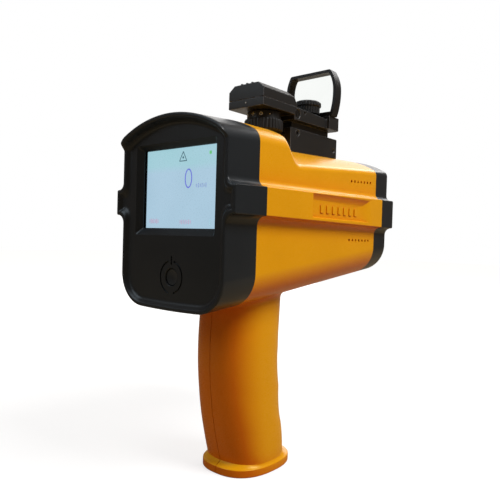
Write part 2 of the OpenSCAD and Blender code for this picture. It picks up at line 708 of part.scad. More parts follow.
// Casting with the dial and knob bores, the foot and the dovetail key
module sight_base() {
  color(dark) difference() {
    union() {
      intersection() {
        side_profile([[rear_y, box_z], [rear_y, seam_z], [25, seam_z], [57, 225.3], [58.7, 224.9],
                      [60.2, ledge_z - 0.2], [71, ledge_z - 0.4], [72.6, 225.6], [72.6, belly_z],
                      [21.6, belly_z], [21.6, box_z]], 2 * sight_w);
        translate([0, 80, 0]) rotate([90, 0, 0]) linear_extrude(100)
          polygon([[-sight_w, 218], [sight_w, 218], [sight_w, 232], [-sight_w, 232]]);
      }
      span([-16, 59.4, belly_z], [16, 71.6, ledge_z]);
      span([-9, 26, rail_z], [9, 69, belly_z + 0.2]);
      translate([0, 69, 0]) rotate([90, 0, 0]) linear_extrude(43)
        polygon([[-6, 210], [6, 210], [4.7, rail_z + 1], [-4.7, rail_z + 1]]);
    }
    translate([0, dial_y, 220]) cylinder(r = 3.05, h = 5.7);
    translate([knob_x, knob_y, 219.6]) cylinder(r = 2.55, h = 10);
    x_rod(10.3, windage[0], windage[1], 2.85, 10);
    x_rod(11.3, 33, 224.6, 1.3, 10);
    y_rod(0, rear_y - 1, 224.5, 0.5, 1.5);
    translate([0, elevation_y, 222.6]) cylinder(r = 2.65, h = 10);
    for (s = [-1, 1]) translate([s * 11, -6.2, 220]) {
      cylinder(r = 1.1, h = 10);
      cylinder(r = 2.2, h = 2.8);
    }
  }
}
module sight_cover() {
  color(dark) difference() {
    union() {
      intersection() {
        side_profile([[rear_y, seam_z + 0.05], [rear_y, 236.4], [18.6, 236.4], [24.6, 227.6],
                      [24.6, seam_z + 0.05]], 2 * sight_w);
        translate([0, 80, 0]) rotate([90, 0, 0]) linear_extrude(100) polygon([
          [-sight_w, 218], [sight_w, 218], [sight_w, 232.4], [9.6, 236], [-9.6, 236], [-sight_w, 232.4]]);
      }
      for (x = [-4.2, 0, 4.2]) span([x - 0.7, rear_y + 0.6, 235.8], [x + 0.7, 15, 236.7]);
    }
    span([-9.5, -6.5, 226], [9.5, 14, 233.4]);
    y_rod(0, 10, 230.6, 2.6, 20);
    for (s = [-1, 1]) translate([s * 11, -6.2, 226]) cylinder(r = 0.85, h = 5);
  }
}
module cover_screws() {
  color(steel) for (s = [-1, 1]) translate([s * 11, -6.2, 0]) {
    translate([0, 0, 221.9]) cylinder(r = 2, h = 0.9);
    translate([0, 0, 221.9]) cylinder(r = 0.8, h = 8);
  }
}
module sight_emitter() {
  color(steel) {
    y_rod(0, 3, 230.6, 2.3, 8);
    span([-6, 1.4, 227], [6, 3, 233]);
  }
}

// Half-width of the hood's side at each height, bulging at mid height
function hood_side(z, inset) = 21 - inset - (z > hood_mid ? 0.026 : 0.011) * pow(z - hood_mid, 2);
function hood_outline(inset, low, top, n) =
  let (side = [for (i = [0:n]) let (z = mix(low, top, i / n)) [hood_side(z, inset), z]])
  concat(side, [for (i = [n:-1:0]) [-side[i][0], side[i][1]]]);
module sight_hood() {
  color(dark) translate([0, hood_y1, 0]) rotate([90, 0, 0]) linear_extrude(hood_y1 - hood_y0) difference() {
    polygon(hood_outline(0, ledge_z, hood_z, 14));
    polygon(hood_outline(3.6, 231, hood_z - 2.8, 12));
  }
}
module sight_lens() {
  color(glass) translate([0, 65, 0]) rotate([90, 0, 0]) linear_extrude(2)
    polygon(hood_outline(3.65, 231.05, hood_z - 2.85, 12));
}
module reticle_dial() {
  color(dark) difference() {
    translate([0, dial_y, 0]) rotate_extrude() polygon([
      [0, 209.4], [dial_r - 0.8, 209.4], [dial_r, 210.2], [dial_r, 215.8], [dial_r - 0.6, 216.4],
      [10.8, 216.4], [10.8, 221.2], [3, 221.2], [3, 225.2], [0, 225.2]]);
    for (i = [0:23]) translate([0, dial_y, 209]) rotate([0, 0, 15 * i]) translate([dial_r + 0.55, 0, 0])
      cylinder(r = 1.2, h = 6.9);
    translate([0, dial_y, 209]) {
      cylinder(r = 3.4, h = 2.2);
      cylinder(r = 1.15, h = 12);
    }
  }
}
module dial_screw() {
  color(steel) translate([0, dial_y, 0]) difference() {
    union() {
      translate([0, 0, 209.8]) cylinder(r = 2.8, h = 1.4);
      translate([0, 0, 209.8]) cylinder(r = 1.1, h = 10);
    }
    translate([0, 0, 209]) cylinder(r = 1.2, h = 1.7, $fn = 6);
  }
}
module brightness_knob() {
  color(dark) difference() {
    translate([knob_x, knob_y, 0]) rotate_extrude() polygon([
      [0, 220], [2.5, 220], [2.5, 227.7], [knob_r - 0.5, 227.7], [knob_r, 228.2], [knob_r, 235],
      [knob_r - 0.6, 235.6], [8.2, 235.6], [8.2, 230.2], [0, 230.2]]);
    for (i = [0:19]) translate([knob_x, knob_y, 228.9]) rotate([0, 0, 18 * i]) translate([knob_r + 0.7, 0, 0])
      cylinder(r = 1.1, h = 8);
  }
}
module battery_cap() {
  color(dark) translate([knob_x, knob_y, 0]) difference() {
    translate([0, 0, 233]) cylinder(r = 8.1, h = 3.2);
    span([-5.5, -0.8, 235], [5.5, 0.8, 237]);
  }
}
module coin_cell() { color(steel) translate([knob_x, knob_y, 230.5]) cylinder(r = 7.9, h = 2.2); }
module windage_screw() {
  color(dark) difference() {
    x_rod(10.6, windage[0], windage[1], 2.78, 3);
    span([12.9, windage[0] - 0.4, windage[1] - 2], [15, windage[0] + 0.4, windage[1] + 2]);
  }
}
module elevation_screw() {
  color(dark) difference() {
    translate([0, elevation_y, 222.9]) cylinder(r = 2.58, h = 3.1);
    span([-2, elevation_y - 0.4, 225.3], [2, elevation_y + 0.4, 228]);
  }
}
module lock_screw() {
  color(steel) difference() {
    x_rod(11.4, 33, 224.6, 1.25, 2.6);
    translate([13.2, 33, 224.6]) rotate([0, 90, 0]) cylinder(r = 0.7, h = 3, $fn = 6);
  }
}

housing_right();
housing_left();
rear_bezel();
front_ring();
display_window();
display_gasket();
lcd_panel();
lcd_frame();
main_board();
board_standoffs();
board_chips();
key_board();
power_switch();
power_button();
chassis();
optics_tube();
receiver_lens();
lens_retainer();
front_window();
front_seal();
aperture_windows();
detector_board();
detector_can();
laser_module();
collimator_lens();
pointer_laser();
battery_cells();
battery_holder();
battery_contacts();
base_cover();
base_screws();
charge_socket();
trigger();
trigger_spring();
trigger_bracket();
trigger_switch();
buzzer();
housing_screws();
bezel_screws();
ring_screws();
rail();
rail_screws();
clamp_screws();
sight_base();
sight_cover();
cover_screws();
sight_hood();
sight_lens();
sight_emitter();
reticle_dial();
dial_screw();
brightness_knob();
battery_cap();
coin_cell();
windage_screw();
elevation_screw();
lock_screw();
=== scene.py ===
"""Looks of a handheld laser gas leak detector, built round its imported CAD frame.

Outlines are worked out in millimetres with the same rules as the CAD source, and every mesh is made in
metres in the row frame: +X to the user's right, +Y forward along the beam, +Z up, origin under the grip.
"""

import json
import math

import bmesh
import bpy
import numpy as np
from mathutils import Matrix, Vector


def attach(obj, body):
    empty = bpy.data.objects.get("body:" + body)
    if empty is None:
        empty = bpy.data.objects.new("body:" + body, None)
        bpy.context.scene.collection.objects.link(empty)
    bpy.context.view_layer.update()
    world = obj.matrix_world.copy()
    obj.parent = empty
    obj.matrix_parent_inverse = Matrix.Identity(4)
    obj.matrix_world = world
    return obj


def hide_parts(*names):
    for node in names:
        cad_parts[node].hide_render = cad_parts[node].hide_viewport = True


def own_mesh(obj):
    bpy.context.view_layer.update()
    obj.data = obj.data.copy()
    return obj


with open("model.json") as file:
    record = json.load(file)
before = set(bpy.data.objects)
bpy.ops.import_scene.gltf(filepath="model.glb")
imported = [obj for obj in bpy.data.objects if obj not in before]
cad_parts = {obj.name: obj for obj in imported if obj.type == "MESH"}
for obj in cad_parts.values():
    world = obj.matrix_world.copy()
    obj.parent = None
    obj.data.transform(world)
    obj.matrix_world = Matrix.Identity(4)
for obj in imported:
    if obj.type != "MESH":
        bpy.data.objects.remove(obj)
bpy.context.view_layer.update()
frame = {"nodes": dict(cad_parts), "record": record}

MM = 0.001

# Driving sizes, in millimetres, as in the CAD source
JOINT_Y = -44.5
RING_Y = 90.0
FRONT_Y = 110.0
WALL = 2.5
RIB_REAR = 47.5
RIB_FRONT = 41.6
HUMP_Z = 207.9
GRIP_W = 21.5
FOOT_T = 4.9
SCREEN_W = 57.6
SCREEN_H = 43.2
SCREEN_Z = 167.4
KEY_Z = 118.9
LENS_Z = 152.5
BEAM_Z = 191.0
BEAM_X = 10.0
FACE_Y = -66.6
LIP_Y = -68.8
PLATE_Y = -63.0
VISOR_Y = 3.6
LCD_Y = -61.0
RAIL_Y = (22.7, 78.7)
RAIL_W = 10.6
RAIL_Z = 214.4
RAIL_SCREW_Y = (40.0, 66.0)
DECK_SLOPE = 0.036
BELLY_R = 600
CORNER_R = 19
UPPER_W = (41.8, 36.2)
LOWER_W = (41.2, 35.8)
FALL_Y = (-20.5, -2)
TRAY_Y = 35
SEAM_GAP = 0.18
TRIGGER_Z = 86.0
SIGHT_W = 14.2
SIGHT_REAR = -10.0
SEAM_Z = 226.6
BELLY_Z = 218.5
BOX_Z = 221.6
LEDGE_Z = 227.6
HOOD_Y = (60.0, 67.0)
HOOD_MID = 246.0
HOOD_TOP = 259.0
DIAL_Y = 8.0
DIAL_R = 12.4
DRUM_R = 10.8
MARK_Z = 218.9
INDEX_Z = 224.5
KNOB_X = 4.2
KNOB_Y = 49.8
KNOB_R = 9.3
BOSSES = ((-32, 193, 37.5), (-30, 114.5, 34.5), (10, 176, 38.5), (50, 121.5, 29.8), (-23.5, 60, 16.8),
          (-20.5, 24, 14.6))
BEZEL_POINTS = ((26, 197.6, 3.8), (33, 115, 5))
RING_POINTS = ((28, 128, 3.4), (31.4, 180, 3.6))
BASE_POINT = (12.2, 10)


# ---------- camera ----------

def add_camera():
    """Camera at the photograph's place, given by its azimuth, its look down and its roll."""
    azimuth, down, roll = math.radians(40.8), math.radians(1.17), math.radians(1.67)
    back = Vector((math.sin(azimuth) * math.cos(down), -math.cos(azimuth) * math.cos(down), math.sin(down)))
    level = Vector((math.cos(azimuth), math.sin(azimuth), 0))
    upright = back.cross(level)
    right = level * math.cos(roll) + upright * math.sin(roll)
    up = upright * math.cos(roll) - level * math.sin(roll)
    data = bpy.data.cameras.new("camera")
    data.sensor_width = 36
    data.lens = 39.71
    camera = bpy.data.objects.new("camera", data)
    rotation = Matrix((right, up, back)).transposed()
    place = Vector((226.66, -264.42, 140.97)) * MM
    camera.matrix_world = Matrix.Translation(place) @ rotation.to_4x4()
    bpy.context.scene.collection.objects.link(camera)
    bpy.context.scene.camera = camera


add_camera()


# ---------- mesh kit ----------

def make(name, points, faces):
    """A mesh object from points in millimetres, with its faces turned outwards."""
    mesh = bpy.data.meshes.new(name)
    mesh.from_pydata([tuple(c * MM for c in p) for p in points], [], faces)
    work = bmesh.new()
    work.from_mesh(mesh)
    bmesh.ops.recalc_face_normals(work, faces=work.faces)
    work.to_mesh(mesh)
    work.free()
    obj = bpy.data.objects.new(name, mesh)
    bpy.context.scene.collection.objects.link(obj)
    return obj


def loft(name, rings, closed=False):
    """Skins loops of equally many points. A closed stack joins its last loop to its first."""
    n, m = len(rings[0]), len(rings)
    faces = []
    for i in range(m if closed else m - 1):
        a, b = i * n, (i + 1) % m * n
        faces += [(a + j, a + (j + 1) % n, b + (j + 1) % n, b + j) for j in range(n)]
    if not closed:
        faces += [tuple(range(n)), tuple((m - 1) * n + j for j in range(n))]
    return make(name, [p for ring in rings for p in ring], faces)


def on_axis(axis, u, v, w):
    """The point whose coordinate along the axis is w; u and v are the other two, in X, Y, Z order."""
    return {"x": (w, u, v), "y": (u, w, v), "z": (u, v, w)}[axis]


def prism(name, section, axis, low, high):
    """Section extruded along an axis. Its points are the two other coordinates, in X, Y, Z order."""
    return loft(name, [[on_axis(axis, u, v, w) for u, v in section] for w in (low, high)])


def circle(u, v, r, n=48):
    return [(u + r * math.cos(2 * math.pi * i / n), v + r * math.sin(2 * math.pi * i / n)) for i in range(n)]


def rod(axis, u, v, r, low, high, n=48):
    return prism("rod", circle(u, v, r, n), axis, low, high)


def span(low, high):
    """Box between two corners."""
    corners = [(low[0], low[1]), (high[0], low[1]), (high[0], high[1]), (low[0], high[1])]
    return prism("span", corners, "z", low[2], high[2])


def round_rect(w, h, r, u=0.0, v=0.0, steps=5):
    """Rounded rectangle centred on (u, v)."""
    points = []
    for q, (su, sv) in enumerate(((1, 1), (-1, 1), (-1, -1), (1, -1))):
        for i in range(steps + 1):
            a = math.radians(90 * q + 90 * i / steps)
            points.append((u + su * (w / 2 - r) + r * math.cos(a), v + sv * (h / 2 - r) + r * math.sin(a)))
    return points


def turned(name, profile, axis, u, v, n=64):
    """Profile of (radius, place along the axis) turned round an axis through (u, v)."""
    points, rows = [], []
    for r, w in profile:
        if r < 1e-6:
            rows.append([len(points)] * n)
            points.append(on_axis(axis, u, v, w))
        else:
            rows.append(list(range(len(points), len(points) + n)))
            points += [on_axis(axis, a, b, w) for a, b in circle(u, v, r, n)]
    faces = []
    for k in range(len(rows) if profile[0][0] > 1e-6 else len(rows) - 1):
        low, high = rows[k], rows[(k + 1) % len(rows)]
        for j in range(n):
            face = dict.fromkeys((low[j], low[(j + 1) % n], high[(j + 1) % n], high[j]))
            if len(face) > 2:
                faces.append(tuple(face))
    return make(name, points, faces)


def baked(obj):
    """Applies the object's modifiers."""
    bpy.context.view_layer.update()
    mesh = bpy.data.meshes.new_from_object(obj.evaluated_get(bpy.context.evaluated_depsgraph_get()))
    obj.modifiers.clear()
    obj.data = mesh
    return obj


def combine(obj, tools, operation):
    for tool in tools:
        modifier = obj.modifiers.new("boolean", "BOOLEAN")
        modifier.operation = operation
        modifier.solver = "MANIFOLD"
        modifier.object = tool
        baked(obj)
        bpy.data.objects.remove(tool)
    return obj


def cut(obj, *tools):
    return combine(obj, tools, "DIFFERENCE")


def add(obj, *tools):
    return combine(obj, tools, "UNION")


def keep(obj, *tools):
    return combine(obj, tools, "INTERSECT")


def joined(objs):
    """Several separate solids as one object, to cut with in one go."""
    work = bmesh.new()
    for o in objs:
        work.from_mesh(o.data)
    first = objs[0]
    work.to_mesh(first.data)
    work.free()
    for o in objs[1:]:
        bpy.data.objects.remove(o)
    return first


def copied(obj):
    twin = bpy.data.objects.new("copy", obj.data.copy())
    bpy.context.scene.collection.objects.link(twin)
    return twin


def bevelled(obj, width, segments, angle):
    """Adds a modifier that rounds every edge sharper than the angle."""
    modifier = obj.modifiers.new("bevel", "BEVEL")
    modifier.width = width * MM
    modifier.segments = segments
    modifier.limit_method = "ANGLE"
    modifier.angle_limit = math.radians(angle)


def soften(obj, width, segments=2, angle=32):
    """Rounds every edge sharper than the angle, after flat faces have been made whole."""
    work = bmesh.new()
    work.from_mesh(obj.data)
    bmesh.ops.remove_doubles(work, verts=work.verts, dist=1e-7)
    bmesh.ops.dissolve_limit(work, angle_limit=math.radians(0.6), verts=work.verts, edges=work.edges)
    work.to_mesh(obj.data)
    work.free()
    bevelled(obj, width, segments, angle)
    return baked(obj)


def shade(obj, angle=38):
    """Smooth shading that stays crisp at edges sharper than the angle."""
    work = bmesh.new()
    work.from_mesh(obj.data)
    for face in work.faces:
        face.smooth = True
    for edge in work.edges:
        edge.smooth = len(edge.link_faces) == 2 and edge.calc_face_angle(0) < math.radians(angle)
    work.to_mesh(obj.data)
    work.free()
    modifier = obj.modifiers.new("normals", "WEIGHTED_NORMAL")
    modifier.keep_sharp = True
    return obj


def piece(obj, name, body, slot, material, *nodes):
    """Names a finished mesh, gives it its material, and says what it rides on and stands for."""
    obj.name = name
    obj.data.materials.clear()
    obj.data.materials.append(material)
    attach(obj, body)
    if nodes:
        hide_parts(*nodes)
    return obj


# ---------- outlines shared with the CAD ----------

def mix(a, b, t):
    return a + (b - a) * t


def part_way(value, low, high):
    """How far a value lies on the way from low to high, between 0 and 1."""
    return min(max((value - low) / (high - low), 0), 1)


def smooth(t):
    c = min(max(t, 0.0), 1.0)
    return c * c * (3 - 2 * c)


def deck(y):
    return 198.3 + DECK_SLOPE * y


def underside(y):
    return 100.7 + 0.11 * (y - LIP_Y)


def arc(u, v, r, start, end, n):
    """Arc of n points, with its angle counted from +Z towards +X."""
    angles = np.radians(np.linspace(start, end, n))
    return [(u + r * math.sin(a), v + r * math.cos(a)) for a in angles]


def belly_join(y, inset=0.0):
    """Lower half-width, corner radius, height of the corner's middle, and half the belly arc's angle."""
    lower, corner = mix(*LOWER_W, part_way(y, JOINT_Y, FRONT_Y)) - inset, CORNER_R - inset
    middle = underside(y) + inset + BELLY_R - math.sqrt((BELLY_R - corner) ** 2 - (lower - corner) ** 2)
    return lower, corner, middle, math.asin((lower - corner) / (BELLY_R - corner))


def outline(y, inset=0.0, rib_inset=0.0):
    """The body's cross-section as (x, z), from the top of the middle plane clockwise seen from behind."""
    t = part_way(y, JOINT_Y, FRONT_Y)
    rear = max(0, JOINT_Y - y) / 24
    drop = smooth(1 - (1 - part_way(y, *FALL_Y)) ** 1.8)
    top = mix(HUMP_Z, deck(y), drop) - 1.4 * rear - inset
    arch = mix(82, mix(60, 70, t), drop) - inset
    shoulder = max(mix(9, 5, drop) - inset, 1.5)
    upper = mix(*UPPER_W, t) - inset
    rib = mix(RIB_REAR, RIB_FRONT, t) - max(rib_inset, inset)
    lower, corner, corner_z, psi = belly_join(y, inset)
    rib_top = mix(168.1, 171.5, t) - 0.6 * rear - inset
    rib_low = mix(152.8, 151.4, t) + inset
    bend, belly_z = 180 - math.degrees(psi), underside(y) + inset + BELLY_R
    fillet, edge, under = 0.78 * (rib - upper), 0.12 * (rib - upper), 0.86 * (rib - lower)
    shoulder_z = top - arch + math.sqrt((arch - shoulder) ** 2 - (upper - shoulder) ** 2)
    phi = math.degrees(math.asin((upper - shoulder) / (arch - shoulder)))
    half = arc(0, top - arch, arch, 0, phi, 16)
    half += arc(upper - shoulder, shoulder_z, shoulder, phi, 90, 14)[1:]
    half += arc(upper + fillet, rib_top + fillet, fillet, -90, -180, 12)
    half += arc(rib - edge, rib_top - edge, edge, 0, 90, 4)
    half += arc(rib - edge, rib_low + edge, edge, 90, 180, 4)
    half += arc(lower + under, rib_low - under, under, 0, -90, 9)
    half += arc(lower - corner, corner_z, corner, 90, bend, 20)
    half += arc(0, belly_z, BELLY_R, bend, 180, 12)[1:]
    return half + [(-x, z) for x, z in half[-2:0:-1]]


def body_solid(name, stations, inset=0.0, rib_inset=0.0):
    return loft(name, [[(x, y, z) for x, z in outline(y, inset, rib_inset)] for y in stations])


def belly_height(x, y):
    """Height of the body's underside under the point (x, y)."""
    lower, corner, corner_z, psi = belly_join(y)
    if abs(x) <= BELLY_R * math.sin(psi):
        return underside(y) + BELLY_R - math.sqrt(BELLY_R ** 2 - x ** 2)
    return corner_z - math.sqrt(max(corner ** 2 - (abs(x) - lower + corner) ** 2, 0))


GRIP_Z = (4.5, 18, 32, 47, 62, 77, 95, 112)
GRIP_BACK = (-22.8, -27, -30.4, -33, -34.6, -35.1, -34.3, -33.5)
GRIP_FRONT = (21.8, 21.2, 18.6, 16.9, 15.6, 14.6, 15.2, 16.2)
RIDGE_Z = (26, 50, 74)


def through(xs, ys, x):
    """Smooth curve through the points, evaluated at x."""
    slopes = np.gradient(ys, xs)
    k = int(np.clip(np.searchsorted(xs, x) - 1, 0, len(xs) - 2))
    h = xs[k + 1] - xs[k]
    t = part_way(x, xs[k], xs[k + 1])
    return ((1 + 2 * t) * (1 - t) ** 2 * ys[k] + t * (1 - t) ** 2 * h * slopes[k]
            + t * t * (3 - 2 * t) * ys[k + 1] + t * t * (t - 1) * h * slopes[k + 1])


def groove(z):
    if not RIDGE_Z[0] < z < RIDGE_Z[2]:
        return 0.0
    return 0.9 * abs(math.sin(math.pi * (z - RIDGE_Z[0]) / 24)) ** 0.75


def superellipse(w, back, front, angle):
    """Point of the grip's oval at an angle counted from +X towards +Y."""
    c, s = math.cos(angle), math.sin(angle)
    c = 0.0 if abs(c) < 1e-9 else c
    return (w * math.copysign(abs(c) ** 0.8, c),
            (back + front) / 2 + (front - back) / 2 * math.copysign(abs(s) ** 0.8, s))


def oval(w, back, front, n=96):
    return [superellipse(w, back, front, 2 * math.pi * i / n) for i in range(n)]


def grip_point(angle, z, inset=0.0):
    back, front = through(GRIP_Z, GRIP_BACK, z), through(GRIP_Z, GRIP_FRONT, z)
    return superellipse(GRIP_W - inset, back + inset, front - groove(z) - inset, angle)


def grip_solid():
    """Grip with finger grooves, blended into the body's underside by a fillet."""
    n, radius = 120, 4.5
    angles = [2 * math.pi * i / n for i in range(n)]
    columns = []
    for angle in angles:
        x, y = grip_point(angle, 96)
        ahead, behind = grip_point(angle + 0.03, 96), grip_point(angle - 0.03, 96)
        normal = Vector((ahead[1] - behind[1], behind[0] - ahead[0])).normalized()
        top = belly_height(x, y) - radius
        rows = [(*grip_point(angle, z), z) for z in np.linspace(FOOT_T - 1, top, 74)]
        x, y = rows[-1][:2]
        for a in np.radians(np.linspace(10, 80, 8)):
            out = radius * (1 - math.cos(a))
            px, py = x + normal.x * out, y + normal.y * out
            rows.append((px, py, belly_height(px, py) - radius * (1 - math.sin(a))))
        px, py = x + normal.x * (radius + 0.3), y + normal.y * (radius + 0.3)
        rows.append((px, py, belly_height(px, py) + 0.2))
        rows.append((x, y, belly_height(x, y) + 1.6))
        columns.append(rows)
    return loft("grip", [[column[k] for column in columns] for k in range(len(columns[0]))])


def foot_solid():
    """Flange under the grip: a rounded rim, then a hollowed slope up to the grip."""
    rings = []
    for inset, z in ((0.9, 0), (0.35, 0.12), (0.05, 0.5), (0, 0.9), (0, 4.2), (0.08, 4.55), (0.28, 4.8)):
        rings.append([(x, y, z) for x, y in oval(GRIP_W + 1.4 - inset, -27.8 + inset, 27.9 - inset, 120)])
    for share, z in ((0.14, 4.95), (0.3, 5.2), (0.5, 5.6), (0.7, 6.15), (0.86, 6.75), (1, 7.3)):
        rings.append([(x, y, z) for x, y in oval(mix(22.65, 21.2, share), mix(-27.5, -23.4, share),
                                                 mix(27.6, 21.4, share), 120)])
    return loft("foot", rings)


def on_rib(points):
    """Places points drawn at the rib's outer face, with x counted outwards from it."""
    lean = math.atan((RIB_REAR - RIB_FRONT) / (FRONT_Y - JOINT_Y))
    face = mix(RIB_REAR, RIB_FRONT, part_way(TRAY_Y, JOINT_Y, FRONT_Y))
    c, s = math.cos(lean), math.sin(lean)
    return [(face + x * c - y * s, TRAY_Y + x * s + y * c, z) for x, y, z in points]


def rib_tray():
    """Sunk panel with sloping walls, left blank but for a row of plain bars."""
    low, high, length = 154.0, 168.4, 71.0
    rings = []
    for depth, rear, front, top, bottom in ((-3, -0.3, -0.5, -0.5, -0.3), (0, 0, 0, 0, 0),
                                            (2.4, 0.7, 5.5, 3.4, 0.9)):
        w, h = length - rear - front, high - low - top - bottom
        middle = (high - top + low + bottom) / 2
        section = round_rect(w, h, 0.4, (rear - front) / 2, middle, 3)
        rings.append(on_rib([(-depth, y, z) for y, z in section]))
    return loft("tray", rings)


def rib_bars():
    """Seven plain bars in a row on the tray's floor."""
    bars = []
    for i in range(7):
        rings = []
        for x, less in ((-2.8, 0), (-1.9, 0), (-1.7, 0.5)):
            section = round_rect(3.5 - less, 5 - less, 0.6, -22.2 + 7 * i, 160, 3)
            rings.append(on_rib([(x, y, z) for y, z in section]))
        bars.append(loft("bar", rings))
    return bars


def mirrored(obj):
    obj.data.transform(Matrix.Diagonal((-1, 1, 1, 1)))
    obj.data.flip_normals()
    return obj


def both_sides(build):
    """The solids that build() returns, with their mirror images on the left."""
    return build() + [mirrored(o) for o in build()]


def shells():
    """Both clamshell halves, hollow, with their openings, bosses and seams."""
    stations = [*np.linspace(JOINT_Y, -22, 6), *np.linspace(*FALL_Y, 36), *np.linspace(0, RING_Y, 14)]
    shell = add(body_solid("shell", stations), grip_solid(), foot_solid())
    hollow = body_solid("hollow", [JOINT_Y - 1, -24, -17, -10, -4, 24, RING_Y + 1], WALL, WALL + 2)
    grip_hollow = loft("hollow", [
        [(x, y, z) for x, y in oval(GRIP_W - WALL, through(GRIP_Z, GRIP_BACK, z) + WALL,
                                    through(GRIP_Z, GRIP_FRONT, z) - WALL - 0.9, 40)]
        for z in (3.2, 18, 32, 47, 62, 77, 95, 120)])
    opening = prism("opening", oval(17.5, -18.3, 18.3, 60), "z", -1, 4)
    cut(shell, add(hollow, grip_hollow), opening)
    posts = [rod("x", y, z, 3.8, -reach, reach, 24) for y, z, reach in BOSSES]
    posts += both_sides(lambda: [rod("y", x, z, r, JOINT_Y, JOINT_Y + 2.5, 24) for x, z, r in BEZEL_POINTS]
                        + [rod("y", x, z, r, RING_Y - 9, RING_Y, 24) for x, z, r in RING_POINTS]
                        + [rod("z", BASE_POINT[0], s * BASE_POINT[1], 5.2, 3.2, 9.7, 24) for s in (-1, 1)])
    add(shell, *posts)
    vents = both_sides(lambda: [rod("x", 54.4 + 4.5 * i, z + rise * i, 1.0, 30, 42, 16)
                                for z, rise in ((180.7, 0.24), (141.9, 0)) for i in range(7)])
    cut(shell, joined(vents), joined([rib_tray(), mirrored(rib_tray())]))
    add(shell, joined(rib_bars() + [mirrored(bar) for bar in rib_bars()]))
    rear, front = (RAIL_Y[0] - 0.2, deck(RAIL_Y[0]) - 1), (RAIL_Y[1] + 0.1, deck(RAIL_Y[1]) - 1)
    seat = [rear, front, (front[0], front[1] + 12), (rear[0], rear[1] + 12)]
    cut(shell, prism("seat", seat, "x", -RAIL_W - 0.2, RAIL_W + 0.2))
    cut(shell, prism("window", round_rect(14.9, 24.9, 3, 0, TRIGGER_Z), "y", 8, 30))
    cut(shell, joined([rod("z", 0, y, 1.6, 190, 210, 24) for y in RAIL_SCREW_Y]))
    halves = [keep(copied(shell), span((low, -100, -5), (high, 150, 260)))
              for low, high in ((SEAM_GAP, 80), (-80, -SEAM_GAP))]
    bpy.data.objects.remove(shell)
    cut(halves[1], joined([rod("x", y, z, 3, -60, -reach + 2.2, 32) for y, z, reach in BOSSES]))
    return [shade(half) for half in halves]


# ---------- bezel and front ring ----------

def curve_points(points, steps):
    """Smooth curve through points of any size, as a list."""
    columns = np.array(points, float)
    at = np.arange(len(points), dtype=float)
    return [[through(at, columns[:, c], u) for c in range(columns.shape[1])]
            for u in np.linspace(0, len(points) - 1, (len(points) - 1) * steps + 1)]


def rim_ring(inset, y, share):
    y, share = max(y, LIP_Y), min(max(share, 0), 1)
    return [(x, y - share * VISOR_Y * smooth((z - 189.5) / 5), z) for x, z in outline(y, max(inset, 0))]


def bezel():
    """Rear frame: rounded rim with a visor lip, dished face, screen opening and power sign."""
    lip = [(0, -67.2, 0.6), (0.05, -68.1, 0.88), (0.3, -68.6, 0.98), (0.75, LIP_Y, 1), (1.9, -68.75, 1),
           (2.7, -68.1, 0.88), (3.7, -67.1, 0.45), (4.8, -66.65, 0.1), (6, -66.58, 0)]
    rings = [rim_ring(0, JOINT_Y, 0), rim_ring(0, -55, 0.04)] + [rim_ring(*p) for p in curve_points(lip, 4)]
    rings += [rim_ring(6, -64, 0), rim_ring(3, -64, 0), rim_ring(3, JOINT_Y, 0)]
    frame_piece = loft("bezel", rings, closed=True)
    plate = prism("plate", outline(FACE_Y, 4.6), "y", FACE_Y, PLATE_Y)
    add(frame_piece, plate)
    rings = []
    for y, w, h, r, rise in ((FACE_Y - 0.4, 7.4, 8.5, 1.7, -0.6), (FACE_Y - 0.02, 6.4, 7.5, 1.5, -0.6),
                             (PLATE_Y - 0.3, 0.6, 0.6, 0.5, 0), (PLATE_Y + 2, 0.6, 0.6, 0.5, 0)):
        section = round_rect(SCREEN_W + w, SCREEN_H + h, r, 0, SCREEN_Z + rise, 4)
        rings.append([(x, y, z) for x, z in section])
    cut(frame_piece, loft("opening", rings))
    gap = 26
    sector = []
    for start, end in ((gap / 2, 180 - gap / 2), (180 + gap / 2, 360 - gap / 2)):
        band = arc(0, KEY_Z, 9.2, start, end, 40) + arc(0, KEY_Z, 8.25, end, start, 40)
        sector.append(prism("ring", band, "y", FACE_Y - 2, FACE_Y + 0.6))
    tick = prism("tick", round_rect(1.0, 4.9, 0.45, 0, KEY_Z + 9.15), "y", FACE_Y - 2, FACE_Y + 0.6)
    cut(frame_piece, joined(sector + [tick]))
    hole = [(0, -72), (5.6, -72), (5.15, FACE_Y - 0.01), (4.75, FACE_Y + 0.4), (4.75, -60), (0, -60)]
    cut(frame_piece, turned("hole", hole, "y", 0, KEY_Z))
    posts = both_sides(lambda: [rod("y", x, z, 3, PLATE_Y - 1, JOINT_Y, 24) for x, z, _ in BEZEL_POINTS])
    add(frame_piece, *posts)
    return shade(frame_piece, 30)


def key_cap():
    """Dished round key with a rounded rim, its guide flange and its tail."""
    dish = [(4.1 * t, -65.35 - 0.5 * t * t) for t in np.linspace(0, 1, 8)]
    rim = [(4.3, -65.88), (4.45, -65.6), (4.45, -62.6), (6.2, -62.6), (6.2, -61.7), (1.8, -61.7),
           (1.8, -60.2), (0, -60.2)]
    return shade(turned("key", dish + rim, "y", 0, KEY_Z, 72), 34)


